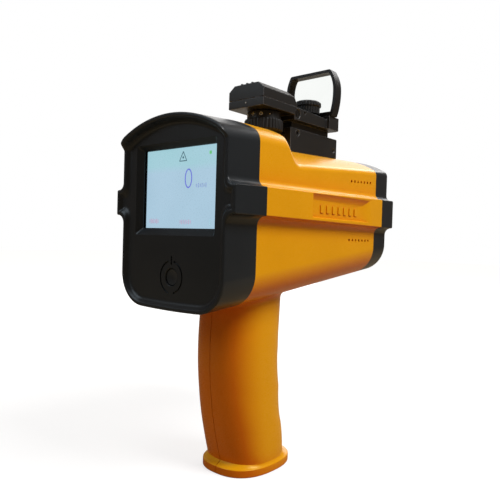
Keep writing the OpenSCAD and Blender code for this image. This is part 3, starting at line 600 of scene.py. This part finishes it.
def front_cap():
    """Front cover with a rounded rim, the receiver's bore and two emitter apertures."""
    edge = [(0, 106.2), (0.08, 107.6), (0.6, 109.1), (1.7, FRONT_Y), (3.2, FRONT_Y), (4.1, 109.4), (4.6, 108.6)]
    rings = [(0, RING_Y), (0, 98)] + curve_points(edge, 4) + [(4.6, 106.5), (3, 106.5), (3, RING_Y)]
    rings = [(max(inset, 0), min(y, FRONT_Y)) for inset, y in rings]
    cap = loft("cap", [[(x, y, z) for x, z in outline(y, inset)] for inset, y in rings], closed=True)
    add(cap, prism("plate", outline(FRONT_Y - 2, 3.8), "y", 106.5, 109.2))
    bore = [(0, 104), (28, 104), (28, 108.2), (28.3, 108.9), (29, 109.21), (29, 112), (0, 112)]
    cut(cap, turned("bore", bore, "y", 0, LENS_Z, 128))
    for side in (-1, 1):
        aperture = [(0, 104), (4.2, 104), (4.2, 108.5), (4.9, 109.21), (4.9, 112), (0, 112)]
        cut(cap, turned("aperture", aperture, "y", side * BEAM_X, BEAM_Z, 48))
        for x, z, _ in RING_POINTS:
            pocket = [(0, 104), (1.5, 104), (1.5, 107.8), (2.8, 107.8), (2.8, 108.9), (3.1, 109.21),
                      (3.1, 112), (0, 112)]
            cut(cap, turned("pocket", pocket, "y", side * x, z, 40))
    return shade(cap, 30)


def trigger_blade():
    """Finger blade with a hollow, rounded front, its guide flange and push rod."""
    rings = []
    for share, grow in ((0, 0), (0.80, 0), (0.93, -0.5), (1, -1.6)):
        ring = []
        for x, z in round_rect(14 + grow, 24 + grow, 2.6 + grow / 3, 0, TRIGGER_Z, 7):
            front = 18.6 - 1.6 * math.cos(math.radians(7.5 * (z - TRIGGER_Z)))
            ring.append((x, mix(8.8, front, share), z))
        rings.append(ring)
    blade = loft("trigger", rings)
    add(blade, prism("flange", round_rect(17.2, 27.2, 3, 0, TRIGGER_Z), "y", 7.6, 9.2))
    add(blade, rod("y", 0, TRIGGER_Z + 2, 1.4, 2.7, 7.7, 32))
    return shade(blade)


def return_spring():
    """Coil that pushes the trigger out, wound round its push rod."""
    turns, steps, wire, coil, first, last = 4, 28, 0.3, 2.4, 1.4, 7.0
    rings = []
    for i in range(turns * steps + 1):
        a = math.radians(360 * i / steps)
        y = mix(first, last, i / (turns * steps))
        ring = []
        for q in np.radians(range(0, 360, 45)):
            r = coil + wire * math.cos(q)
            ring.append((r * math.cos(a), y + wire * math.sin(q), TRIGGER_Z + 2 + r * math.sin(a)))
        rings.append(ring)
    return shade(loft("spring", rings), 50)


# ---------- rail and sight ----------

def hood_side(z, inset):
    return 21 - inset - (0.026 if z > HOOD_MID else 0.011) * (z - HOOD_MID) ** 2


def hood_outline(inset, low, top, corner, n=28):
    """Hood's outline with its upper corners eased by the given radius."""
    side = [(hood_side(z, inset), z) for z in np.linspace(low, top - corner, n)]
    x, slope = side[-1][0], math.radians(35)
    side += [(x - corner * (1 - math.cos(a) + 0.35 * math.sin(a)), top - corner * (1 - math.sin(a)))
             for a in np.linspace(slope / 3, math.pi / 2, 7)]
    return side + [(-x, z) for x, z in reversed(side)]


def leaned(obj):
    """Leans the hood back a little towards the user, more towards its top."""
    for vertex in obj.data.vertices:
        vertex.co.y -= 0.09 * max(0, vertex.co.z - 230 * MM)
    return obj


def hood():
    body = prism("hood", hood_outline(0, LEDGE_Z, HOOD_TOP, 1.3), "y", *HOOD_Y)
    cut(body, prism("view", hood_outline(2.3, 230.6, HOOD_TOP - 2.0, 1.2), "y", HOOD_Y[0] - 1, HOOD_Y[1] + 1))
    return shade(leaned(soften(body, 0.45, 3)))


def hood_glass():
    pane = hood_outline(2.2, 230.5, HOOD_TOP - 1.9, 1.2)
    return shade(leaned(prism("glass", pane, "y", HOOD_Y[0] + 0.5, HOOD_Y[0] + 2)))


def casting():
    """Sight body with its rear box, belly, foot and dovetail key."""
    side = [(SIGHT_REAR, BOX_Z), (SIGHT_REAR, SEAM_Z), (25, SEAM_Z), (57, 225.3), (58.7, 224.9),
            (60.2, LEDGE_Z - 0.2), (71, LEDGE_Z - 0.4), (72.6, 225.6), (72.6, BELLY_Z), (21.6, BELLY_Z),
            (21.6, BOX_Z)]
    body = prism("casting", side, "x", -SIGHT_W, SIGHT_W)
    add(body, span((-16, 59.4, BELLY_Z), (16, 71.6, LEDGE_Z)))
    add(body, span((-9, 26, RAIL_Z), (9, 69, BELLY_Z + 0.2)))
    soften(body, 0.45, 2)
    add(body, prism("key", [(-6, 210), (6, 210), (4.7, RAIL_Z + 1), (-4.7, RAIL_Z + 1)], "y", 26, 69))
    cut(body, rod("z", 0, DIAL_Y, 3.05, 220, 225.7), rod("z", KNOB_X, KNOB_Y, 2.55, 219.6, 232),
        rod("z", 0, 30.5, 2.65, 222.6, 232), rod("y", 0, INDEX_Z, 0.5, SIGHT_REAR - 1, SIGHT_REAR + 0.5, 24))
    pocket = [(0, 10.3), (2.85, 10.3), (2.85, SIGHT_W - 0.35), (3.25, SIGHT_W + 0.01), (3.25, 20), (0, 20)]
    cut(body, turned("pocket", pocket, "x", 25, 222.6, 56))
    cut(body, rod("x", 33, 224.6, 1.3, 11.3, 20, 32))
    return shade(body, 34)


def lid():
    """Emitter cover with chamfered shoulders, a sloping front and three sighting ridges."""
    low, high = SEAM_Z + 0.05, 236.4
    side = [(SIGHT_REAR, low), (SIGHT_REAR, high), (18.6, high), (24.6, 227.6), (24.6, low)]
    body = prism("lid", side, "x", -SIGHT_W, SIGHT_W)
    front = [(-SIGHT_W, 218), (SIGHT_W, 218), (SIGHT_W, 232.4), (9.6, 236), (-9.6, 236), (-SIGHT_W, 232.4)]
    keep(body, prism("front", front, "y", -30, 40))
    soften(body, 0.4, 2)
    for x in (-4.2, 0, 4.2):
        ridge = [(x - 1.0, 235.7), (x + 1.0, 235.7), (x + 0.45, 236.7), (x - 0.45, 236.7)]
        add(body, prism("ridge", ridge, "y", SIGHT_REAR + 0.6, 15))
    cut(body, span((-9.5, -6.5, 226), (9.5, 14, 233.4)), rod("y", 0, 230.6, 2.6, 10, 30))
    return shade(body, 34)


def ribbed(radius, ribs, depth, steps=12):
    """Circle whose edge is scalloped by evenly spaced grooves."""
    points = []
    for i in range(ribs * steps):
        wave = abs(math.sin(math.pi * i / steps)) ** 0.6
        r = radius - depth * (1 - wave)
        a = 2 * math.pi * i / (ribs * steps)
        points.append((r * math.cos(a), r * math.sin(a)))
    return points


def dial():
    """Reticle dial: a ribbed grip below a plain drum that carries its marks."""
    grip = loft("dial", [[(x * s, DIAL_Y + y * s, z) for x, y in ribbed(DIAL_R, 30, 0.5)]
                         for s, z in ((0.94, 209.4), (1, 210.2), (1, 215.7), (0.96, 216.4))])
    drum = [(0, 214), (DRUM_R, 214), (DRUM_R, 221), (10.6, 221.2), (3, 221.2), (3, 225.2), (0, 225.2)]
    add(grip, turned("drum", drum, "z", 0, DIAL_Y, 96))
    cut(grip, rod("z", 0, DIAL_Y, 3.4, 208, 211.2), rod("z", 0, DIAL_Y, 1.15, 208, 221))
    return shade(grip, 34)


def knob():
    """Brightness knob with a ribbed edge and the seat of its battery cap."""
    edge = loft("knob", [[(KNOB_X + x * s, KNOB_Y + y * s, z) for x, y in ribbed(KNOB_R, 24, 0.35)]
                         for s, z in ((0.9, 227.7), (0.91, 232.2), (1, 232.9), (1, 235.0), (0.95, 235.6))])
    add(edge, rod("z", KNOB_X, KNOB_Y, 2.5, 220, 228))
    cut(edge, rod("z", KNOB_X, KNOB_Y, 8.2, 230.2, 240, 72))
    return shade(edge, 34)


def riser():
    """Rail block with bevelled edges, a dovetail groove and its screw holes."""
    low0, low1 = deck(RAIL_Y[0]) - 0.95, deck(RAIL_Y[1]) - 0.95
    side = [(RAIL_Y[0], low0), (RAIL_Y[1], low1), (RAIL_Y[1], RAIL_Z), (RAIL_Y[0], RAIL_Z)]
    body = soften(prism("riser", side, "x", -RAIL_W, RAIL_W), 0.8, 2)
    groove_section = [(-6.4, 209.6), (6.4, 209.6), (4.9, RAIL_Z + 1), (-4.9, RAIL_Z + 1)]
    cut(body, prism("groove", groove_section, "y", 15, 90))
    for y in RAIL_SCREW_Y:
        cut(body, rod("z", 0, y, 1.6, 190, 220, 32), rod("z", 0, y, 3.2, 204, 224, 40))
    for y, z, r, depth in ((30.5, 211.6, 1.95, 5), (74, 205.8, 1.35, 7)):
        hole = [(0, depth), (r, depth), (r, RAIL_W - 0.3), (r + 0.35, RAIL_W + 0.01), (r + 0.35, 15), (0, 15)]
        cut(body, turned("hole", hole, "x", y, z, 40))
    return shade(body, 34)


# ---------- materials ----------

def new_material(name):
    """A material, with its nodes, its links, its principled shader and its object coordinates."""
    material = bpy.data.materials.new(name)
    material.use_nodes = True
    nodes = material.node_tree.nodes
    shader = next(n for n in nodes if n.type == "BSDF_PRINCIPLED")
    coordinates = nodes.new("ShaderNodeTexCoord").outputs["Object"]
    return material, nodes, material.node_tree.links, shader, coordinates


def set_inputs(node, values):
    for name, value in values.items():
        node.inputs[name].default_value = value


def noise(nodes, links, coordinates, scale, detail=3.0, stretch=(1, 1, 1)):
    mapping = nodes.new("ShaderNodeMapping")
    set_inputs(mapping, {"Scale": stretch})
    texture = nodes.new("ShaderNodeTexNoise")
    set_inputs(texture, {"Scale": scale, "Detail": detail})
    links.new(coordinates, mapping.inputs["Vector"])
    links.new(mapping.outputs["Vector"], texture.inputs["Vector"])
    return texture.outputs["Fac"]


def remapped(nodes, links, value, low, high, source=(0.35, 0.65)):
    node = nodes.new("ShaderNodeMapRange")
    set_inputs(node, {"From Min": source[0], "From Max": source[1], "To Min": low, "To Max": high})
    links.new(value, node.inputs["Value"])
    return node.outputs["Result"]


def blend_colours(nodes, links, factor, first, second):
    node = nodes.new("ShaderNodeMix")
    node.data_type = "RGBA"
    for colour, socket in ((first, node.inputs["A"]), (second, node.inputs["B"])):
        if isinstance(colour, tuple):
            socket.default_value = (*colour, 1)
        else:
            links.new(colour, socket)
    links.new(factor, node.inputs["Factor"])
    return node.outputs["Result"]


def maths(nodes, links, operation, *values, kind="ShaderNodeMath"):
    """The value that a maths node makes from others."""
    node = nodes.new(kind)
    node.operation = operation
    for value, socket in zip(values, node.inputs):
        links.new(value, socket)
    return node.outputs["Value"]


def edge_mask(nodes, links, radius):
    """1 on convex and concave edges and 0 on faces, from how far a rounded normal turns."""
    rounded = nodes.new("ShaderNodeBevel")
    rounded.samples = 4
    set_inputs(rounded, {"Radius": radius * MM})
    plain = nodes.new("ShaderNodeNewGeometry")
    likeness = maths(nodes, links, "DOT_PRODUCT", rounded.outputs["Normal"], plain.outputs["Normal"],
                     kind="ShaderNodeVectorMath")
    return remapped(nodes, links, likeness, 1, 0, (0.86, 0.995))


def painted_shade_share(nodes, links, coordinates):
    """Share of painted shade: faces that look down, and faces not looking up in hollows or low on the grip's
    back.
    """
    normal, place = nodes.new("ShaderNodeSeparateXYZ"), nodes.new("ShaderNodeSeparateXYZ")
    links.new(nodes.new("ShaderNodeNewGeometry").outputs["Normal"], normal.inputs["Vector"])
    links.new(coordinates, place.inputs["Vector"])
    under = remapped(nodes, links, normal.outputs["Z"], 1, 0, (-0.6, -0.05))
    low = remapped(nodes, links, place.outputs["Z"], 0.95, 0, (0.095, 0.135))
    level = remapped(nodes, links, normal.outputs["Z"], 1, 0, (0.2, 0.6))
    rear = remapped(nodes, links, normal.outputs["Y"], 1, 0.05, (-0.75, 0.0))
    hollow = nodes.new("ShaderNodeAmbientOcclusion")
    hollow.samples = 4
    set_inputs(hollow, {"Distance": 14 * MM})
    shaded = remapped(nodes, links, hollow.outputs["AO"], 0.85, 0, (0.45, 0.95))
    shaded = maths(nodes, links, "MULTIPLY_ADD", low, rear, shaded)
    shaded.node.use_clamp = True
    shaded = maths(nodes, links, "MULTIPLY_ADD", shaded, level, under)
    shaded.node.use_clamp = True
    return shaded


def finish_of(name, colour, shift, roughness, grain, depth, metallic=0.0, wear_and_glint=None, coat=0.0,
              brushed=(1, 1, 1), specular=0.5, painted_shade_colour=None, sheen=(1, 1, 1)):
    """Procedural surface: slow colour drift, fine grain in the roughness and in the bump, and lightened edges.

    shift is the drift's factor, for all channels or for each; grain is the grain's size and depth its
    height, in millimetres; the edge entry is (edge radius, share, colour), lightening edges partly as rubbed
    metal and partly as painted highlight; the shade colour is a deeper colour painted as shade on faces that
    look down, in hollows and low on the back; sheen tints the gloss."""
    material, nodes, links, shader, coordinates = new_material(name)
    drift = remapped(nodes, links, noise(nodes, links, coordinates, 28), 0, 1)
    base = blend_colours(nodes, links, drift, colour, tuple(np.multiply(colour, shift)))
    speck = noise(nodes, links, coordinates, 1 / (grain * MM), 2.0, brushed)
    # Painted shade: a deeper, redder colour blended in where the painted shade share is high.
    if painted_shade_colour:
        base = blend_colours(nodes, links, painted_shade_share(nodes, links, coordinates), base, painted_shade_colour)
    # Lightened edges: partly rubbed metal, partly a painted highlight along them.
    if wear_and_glint:
        radius, share, glint_and_wear_colour = wear_and_glint
        patchy = remapped(nodes, links, noise(nodes, links, coordinates, 220, 4), 0.2, 1)
        mask = maths(nodes, links, "MULTIPLY", edge_mask(nodes, links, radius), patchy)
        amount = remapped(nodes, links, mask, 0, share, (0, 1))
        base = blend_colours(nodes, links, amount, base, glint_and_wear_colour)
    links.new(base, shader.inputs["Base Color"])
    links.new(remapped(nodes, links, speck, roughness[0], roughness[1]), shader.inputs["Roughness"])
    bump = nodes.new("ShaderNodeBump")
    set_inputs(bump, {"Strength": 0.6, "Distance": depth * MM})
    links.new(speck, bump.inputs["Height"])
    links.new(bump.outputs["Normal"], shader.inputs["Normal"])
    set_inputs(shader, {"Metallic": metallic, "Specular IOR Level": specular, "Specular Tint": (*sheen, 1),
                        "Coat Weight": coat})
    return material


def glass_of(name, tint):
    """Clear cover that shows what is behind it, with a faint smear in its gloss."""
    material, nodes, links, shader, coordinates = new_material(name)
    set_inputs(shader, {"Base Color": (0.01, 0.01, 0.01, 1)})
    smear = noise(nodes, links, coordinates, 60, 4)
    links.new(remapped(nodes, links, smear, 0.04, 0.09), shader.inputs["Roughness"])
    clear = nodes.new("ShaderNodeBsdfTransparent")
    cloudy = remapped(nodes, links, smear, 0, 1)
    tone = blend_colours(nodes, links, cloudy, tint, tuple(c * 0.99 for c in tint))
    links.new(tone, clear.inputs["Color"])
    slant = nodes.new("ShaderNodeLayerWeight")
    set_inputs(slant, {"Blend": 0.5})
    both = nodes.new("ShaderNodeMixShader")
    links.new(remapped(nodes, links, slant.outputs["Facing"], 0.02, 0.3, (0.6, 1)), both.inputs["Fac"])
    links.new(clear.outputs["BSDF"], both.inputs[1])
    links.new(shader.outputs["BSDF"], both.inputs[2])
    surface = next(n for n in nodes if n.type == "OUTPUT_MATERIAL")
    links.new(both.outputs["Shader"], surface.inputs["Surface"])
    return material


def lit_screen():
    """Backlit picture: pale blue and faintly cloudy, more cyan in the status band."""
    material, nodes, links, shader, coordinates = new_material("lit_screen")
    split = nodes.new("ShaderNodeSeparateXYZ")
    links.new(coordinates, split.inputs["Vector"])
    band = remapped(nodes, links, split.outputs["Z"], 0, 1, ((SCREEN_Z + 9) * MM, (SCREEN_Z + 13) * MM))
    tone = blend_colours(nodes, links, band, (0.434, 0.610, 0.740), (0.392, 0.645, 0.705))
    cloud = remapped(nodes, links, noise(nodes, links, coordinates, 35), 0, 0.25)
    tone = blend_colours(nodes, links, cloud, tone, (0.50, 0.66, 0.80))
    links.new(tone, shader.inputs["Emission Color"])
    set_inputs(shader, {"Emission Strength": 1.0, "Base Color": (0.02, 0.02, 0.02, 1)})
    grain = noise(nodes, links, coordinates, 900)
    links.new(remapped(nodes, links, grain, 0.25, 0.35), shader.inputs["Roughness"])
    return material


def ink(name, colour, light):
    """Mark on the screen or on the sight, slightly uneven, that glows by the given amount."""
    material, nodes, links, shader, coordinates = new_material(name)
    uneven = remapped(nodes, links, noise(nodes, links, coordinates, 1500), 0, 0.3)
    tone = blend_colours(nodes, links, uneven, colour, tuple(min(1, c * 1.25) for c in colour))
    links.new(tone, shader.inputs["Base Color"])
    links.new(tone, shader.inputs["Emission Color"])
    set_inputs(shader, {"Emission Strength": light, "Roughness": 0.6})
    return material


MATERIALS = {
    # The orange's deeper second colour is painted shade on faces that look down, in hollows and on the grip's
    # back.
    "housing_orange": finish_of(
        "orange_plastic", (0.80, 0.352, 0.004), (1.04, 1.05, 1.2), (0.25, 0.33), 0.35, 0.008, specular=0.4,
        painted_shade_colour=(0.68, 0.145, 0.002), sheen=(1, 0.9, 0.4)),
    "bezel_black": finish_of(
        "black_plastic", (0.0105, 0.0142, 0.0185), (1.25, 1.22, 1.2), (0.28, 0.36), 0.3, 0.008,
        specular=0.35),
    "clear_glass": glass_of("clear_glass", (0.97, 0.99, 1.0)),
    "coated_glass": glass_of("coated_glass", (0.99, 1.0, 0.99)),
    "soft_black": finish_of("soft_rubber", (0.012, 0.012, 0.012), 1.4, (0.6, 0.75), 0.4, 0.01),
    "screen": lit_screen(),
    "bright_steel": finish_of(
        "bright_steel", (0.55, 0.55, 0.57), 0.9, (0.25, 0.42), 0.3, 0.004, 1.0, brushed=(1, 12, 1)),
    "dark_steel": finish_of(
        "dark_steel", (0.05, 0.048, 0.046), 1.5, (0.3, 0.45), 0.25, 0.006, 1.0,
        wear_and_glint=(0.3, 0.7, (0.4, 0.4, 0.4))),
    "circuit_board": finish_of(
        "solder_mask", (0.012, 0.10, 0.035), (1.3, 1.25, 1.2), (0.3, 0.4), 0.8, 0.02, coat=0.3),
    "chip_black": finish_of("moulded_chip", (0.015, 0.015, 0.016), 1.3, (0.5, 0.65), 0.15, 0.006),
    "bare_aluminium": finish_of(
        "milled_aluminium", (0.70, 0.71, 0.73), 0.92, (0.3, 0.45), 0.3, 0.004, 1.0, brushed=(14, 1, 1)),
    # Its lightened edges are partly rubbed anodising and partly painted highlight.
    "sight_black": finish_of(
        "matt_anodised", (0.0100, 0.0106, 0.0116), 1.3, (0.34, 0.44), 0.22, 0.008,
        wear_and_glint=(0.45, 0.7, (0.42, 0.44, 0.48)), specular=0.4),
    "turned_black": finish_of(
        "unworn_anodised", (0.0085, 0.0091, 0.0102), 1.3, (0.36, 0.46), 0.22, 0.008, specular=0.35),
    "brass": finish_of(
        "turned_brass", (0.70, 0.48, 0.20), (0.92, 0.9, 0.85), (0.22, 0.36), 0.3, 0.004, 1.0,
        brushed=(1, 10, 1)),
    "emitter": finish_of(
        "emitter_plastic", (0.30, 0.02, 0.012), (1.3, 1.2, 1.2), (0.15, 0.25), 0.6, 0.004, coat=0.4),
    "cell_wrap": finish_of(
        "shrink_wrap", (0.01, 0.05, 0.22), (1.3, 1.3, 1.2), (0.2, 0.32), 1.2, 0.03, coat=0.3),
    "moulded_black": finish_of("moulded_black", (0.016, 0.016, 0.017), 1.3, (0.45, 0.6), 0.3, 0.012),
}

SLOT_OF = {row["node"]: row["material_slot"] for row in frame["record"]["subparts"]}


def dress_frame():
    """Gives every CAD node the material of its slot and eases the edges of those that show."""
    eased = {"base_screws": 0.12, "ring_screws": 0.12, "housing_screws": 0.25, "rail_screws": 0.12,
             "clamp_screws": 0.12, "windage_screw": 0.12, "elevation_screw": 0.12, "lock_screw": 0.1,
             "battery_cap": 0.25, "base_cover": 0.3}
    for node, obj in frame["nodes"].items():
        material = MATERIALS[SLOT_OF[node]]
        if not obj.material_slots:
            obj.data.materials.append(material)
        for holder in obj.material_slots:
            holder.material = material
        if node in eased:
            weld = obj.modifiers.new("weld", "WELD")
            weld.merge_threshold = 1e-6
            flatten = obj.modifiers.new("flatten", "DECIMATE")
            flatten.decimate_type = "DISSOLVE"
            flatten.angle_limit = math.radians(1)
            bevelled(obj, eased[node], 2, 40)


dress_frame()


# ---------- screen picture and marks ----------

def stroke_ring(u, v, ru, rv, stroke, n=48):
    """Closed oval line as two half bands, so that each is a plain outline."""
    bands = []
    for start in (0, math.pi):
        outer = [(u + ru * math.cos(a), v + rv * math.sin(a)) for a in np.linspace(start, start + math.pi, n)]
        inner = [(u + (ru - stroke) * math.cos(a), v + (rv - stroke) * math.sin(a))
                 for a in np.linspace(start + math.pi, start, n)]
        bands.append(outer + inner)
    return bands


def stroke_line(a, b, width):
    """Straight line of the given width from a to b."""
    along = Vector((b[0] - a[0], b[1] - a[1])).normalized() * width / 2
    side = Vector((-along.y, along.x))
    return [(a[0] + side.x, a[1] + side.y), (b[0] + side.x, b[1] + side.y),
            (b[0] - side.x, b[1] - side.y), (a[0] - side.x, a[1] - side.y)]


def on_screen(across, down):
    """Place on the picture from shares of its width and height, counted from its upper left."""
    return (across - 0.5) * SCREEN_W, SCREEN_Z + (0.5 - down) * SCREEN_H


def triangle_sign(u, v, size, stroke):
    """Three strokes round a dot."""
    tips = [(u, v + size), (u - size, v - size * 0.75), (u + size, v - size * 0.75)]
    lines = [stroke_line(tips[i], tips[(i + 1) % 3], stroke) for i in range(3)]
    return lines + [circle(u, v - 0.1 * size, 0.22 * size, 16)]


def ticks(across, down, count, height, pitch=0.95):
    """Row of plain short bars, where a unit or a caption would stand."""
    u, v = on_screen(across, down)
    heights = [height * (0.72 + 0.28 * (i % 2)) for i in range(count)]
    return [round_rect(0.5, h, 0.12, u + pitch * i, v, 2) for i, h in enumerate(heights)]


def screen_picture():
    panel = prism("picture", round_rect(65, 50.4, 1, 0, SCREEN_Z), "y", LCD_Y, LCD_Y + 3.6)
    piece(shade(panel), "lcd_picture", "housing", "screen", MATERIALS["screen"], "lcd_panel")
    marks = (
        ("mark_number", stroke_ring(*on_screen(0.60, 0.38), 2.9, 5.3, 0.75), (0.15, 0.17, 0.62), 0.8),
        ("mark_sign", triangle_sign(*on_screen(0.52, 0.105), 2.9, 0.5), (0.07, 0.15, 0.19), 0.6),
        ("mark_lamp", [round_rect(1.7, 1.7, 0.3, *on_screen(0.885, 0.085))], (0.16, 0.55, 0.20), 0.8),
        ("mark_unit", ticks(0.71, 0.475, 6, 2.5, 1.45), (0.22, 0.29, 0.55), 0.8),
        ("mark_caption", ticks(0.05, 0.915, 7, 2.9, 1.2) + ticks(0.50, 0.925, 7, 2.6, 1.35),
         (0.50, 0.33, 0.48), 0.8),
        ("mark_icon", stroke_ring(*on_screen(0.90, 0.925), 0.8, 1.7, 0.3), (0.36, 0.58, 0.66), 0.8),
    )
    for name, outlines, colour, light in marks:
        material = ink(name, colour, light)
        for i, shape in enumerate(outlines):
            front = LCD_Y - 0.02 - 0.002 * i
            plate = prism(name, shape, "y", front - 0.03, front + 0.02)
            piece(plate, f"{name}_{i}", "housing", "screen", material)


def drum_mark(shapes, angle):
    """Lays small outlines, drawn as (across, up), on the dial's drum at an angle from -Y towards +X."""
    plates = []
    for shape in shapes:
        rings = []
        for r in (DRUM_R - 0.05, DRUM_R + 0.05):
            ring = []
            for u, z in shape:
                a = math.radians(angle) + u / DRUM_R
                ring.append((r * math.sin(a), DIAL_Y - r * math.cos(a), z))
            rings.append(ring)
        plates.append(loft("sign", rings))
    return plates


def dial_marks():
    """White signs round the drum: a chevron, a cross, a ring with a dot, and a dot."""
    z = MARK_Z
    white = ink("white_paint", (0.72, 0.72, 0.70), 0.0)
    signs = {
        -30: [stroke_line((-1.0, z - 0.8), (0, z + 0.9), 0.3), stroke_line((0, z + 0.9), (1.0, z - 0.8), 0.3)],
        0: [stroke_line((-1.2, z), (-0.3, z), 0.28), stroke_line((0.3, z), (1.2, z), 0.28),
            stroke_line((0, z - 1.2), (0, z - 0.3), 0.28), stroke_line((0, z + 0.3), (0, z + 1.2), 0.28)],
        30: stroke_ring(0, z, 1.05, 1.05, 0.28, 20) + [circle(0, z, 0.2, 12)],
        60: [circle(0, z, 0.32, 14)],
    }
    for i, (angle, shapes) in enumerate(sorted(signs.items())):
        for k, plate in enumerate(drum_mark(shapes, angle)):
            piece(plate, f"dial_sign_{i}_{k}", "reticle_dial", "sight_black", white)
    dot = rod("y", 0, INDEX_Z, 0.42, SIGHT_REAR + 0.1, SIGHT_REAR + 0.45, 20)
    piece(dot, "index_dot", "housing", "sight_black", white)


# ---------- assembly ----------

def assemble():
    right, left = shells()
    piece(right, "shell_right", "housing", "housing_orange", MATERIALS["housing_orange"], "housing_right")
    piece(left, "shell_left", "housing", "housing_orange", MATERIALS["housing_orange"], "housing_left")
    black, dark, turned_black = MATERIALS["bezel_black"], MATERIALS["sight_black"], MATERIALS["turned_black"]
    piece(bezel(), "bezel_frame", "housing", "bezel_black", black, "rear_bezel")
    piece(front_cap(), "front_cap", "housing", "bezel_black", black, "front_ring")
    piece(key_cap(), "key_cap", "power_button", "bezel_black", black, "power_button")
    piece(trigger_blade(), "trigger_blade", "trigger", "bezel_black", black, "trigger")
    steel = MATERIALS["bright_steel"]
    coil = piece(return_spring(), "return_spring", "housing", "bright_steel", steel, "trigger_spring")
    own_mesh(coil)
    piece(riser(), "riser_block", "housing", "sight_black", dark, "rail")
    piece(casting(), "sight_casting", "housing", "sight_black", dark, "sight_base")
    piece(lid(), "sight_lid", "housing", "sight_black", dark, "sight_cover")
    piece(hood(), "sight_frame", "housing", "sight_black", turned_black, "sight_hood")
    piece(hood_glass(), "sight_glass", "housing", "coated_glass", MATERIALS["coated_glass"], "sight_lens")
    piece(dial(), "dial_body", "reticle_dial", "sight_black", turned_black, "reticle_dial")
    piece(knob(), "knob_body", "brightness_knob", "sight_black", turned_black, "brightness_knob")
    screen_picture()
    dial_marks()


assemble()


# ---------- studio ----------

def add_light(name, place, aim, size, power, colour=(1, 1, 1)):
    """Soft square light at a place, turned towards a point, both in metres."""
    data = bpy.data.lights.new(name, "AREA")
    data.size = size
    data.energy = power
    data.color = colour
    lamp = bpy.data.objects.new(name, data)
    lamp.location = place
    lamp.rotation_euler = (Vector(aim) - Vector(place)).to_track_quat("-Z", "Y").to_euler()
    lamp.visible_camera = False
    bpy.context.scene.collection.objects.link(lamp)


def seen_by_camera(nodes, links, unseen, seen):
    """One value for what the camera sees directly and another for light that has bounced."""
    path = nodes.new("ShaderNodeLightPath")
    return remapped(nodes, links, path.outputs["Is Camera Ray"], unseen, seen, (0, 1))


def studio():
    """Pale floor that fades into a white backdrop, its painted glow for the camera dimmer near the object; a
    key high on the right, a narrow streak from ahead, a soft top light, a glow behind, and a cool fill from the
    user's left."""
    corners = [(4000 * x, 4000 * y, 0) for x, y in ((-1, -1), (1, -1), (1, 1), (-1, 1))]
    floor = make("floor", corners, [(0, 1, 2, 3)])
    material, nodes, links, shader, coordinates = new_material("pale_floor")
    mottle = remapped(nodes, links, noise(nodes, links, coordinates, 3), 0, 1)
    grey = blend_colours(nodes, links, mottle, (0.34, 0.34, 0.34), (0.36, 0.36, 0.36))
    bounced = blend_colours(nodes, links, mottle, (0.32, 0.24, 0.14), (0.34, 0.26, 0.15))
    seen = seen_by_camera(nodes, links, 0.0, 1.0)
    links.new(blend_colours(nodes, links, seen, bounced, grey), shader.inputs["Base Color"])
    set_inputs(shader, {"Roughness": 0.9, "Emission Color": (1, 1, 1, 1)})
    # Painted glow on the floor for the camera only, dimmer near the object so that the floor there looks
    # darker.
    away = maths(nodes, links, "LENGTH", coordinates, kind="ShaderNodeVectorMath")
    glow = remapped(nodes, links, away, 0.72, 0.94, (0.15, 1.2))
    links.new(maths(nodes, links, "MULTIPLY", seen, glow), shader.inputs["Emission Strength"])
    floor.data.materials.append(material)
    world = bpy.data.worlds.new("studio")
    bpy.context.scene.world = world
    world.use_nodes = True
    nodes, links = world.node_tree.nodes, world.node_tree.links
    backdrop = next(n for n in nodes if n.type == "BACKGROUND")
    links.new(seen_by_camera(nodes, links, 0.17, 1.0), backdrop.inputs["Strength"])
    seen = seen_by_camera(nodes, links, 0.0, 1.0)
    links.new(blend_colours(nodes, links, seen, (1.0, 0.77, 0.56), (1.0, 1.0, 1.0)), backdrop.inputs["Color"])
    add_light("key", (0.80, 0.14, 1.0), (0, 0.02, 0.14), 0.5, 12.0)
    add_light("streak", (0.0, 0.85, 0.75), (0, 0.02, 0.15), 0.3, 1.4)
    add_light("top", (0.1, 0.1, 1.3), (0, 0.02, 0.15), 0.5, 2)
    add_light("backdrop_glow", (-0.75, 1.15, 0.5), (0, 0.02, 0.15), 1.3, 9)
    add_light("fill", (-0.55, -0.95, 0.95), (0, -0.05, 0.15), 0.8, 4.6, (0.84, 1.0, 1.14))
    bpy.context.scene.view_settings.view_transform = "Standard"


studio()
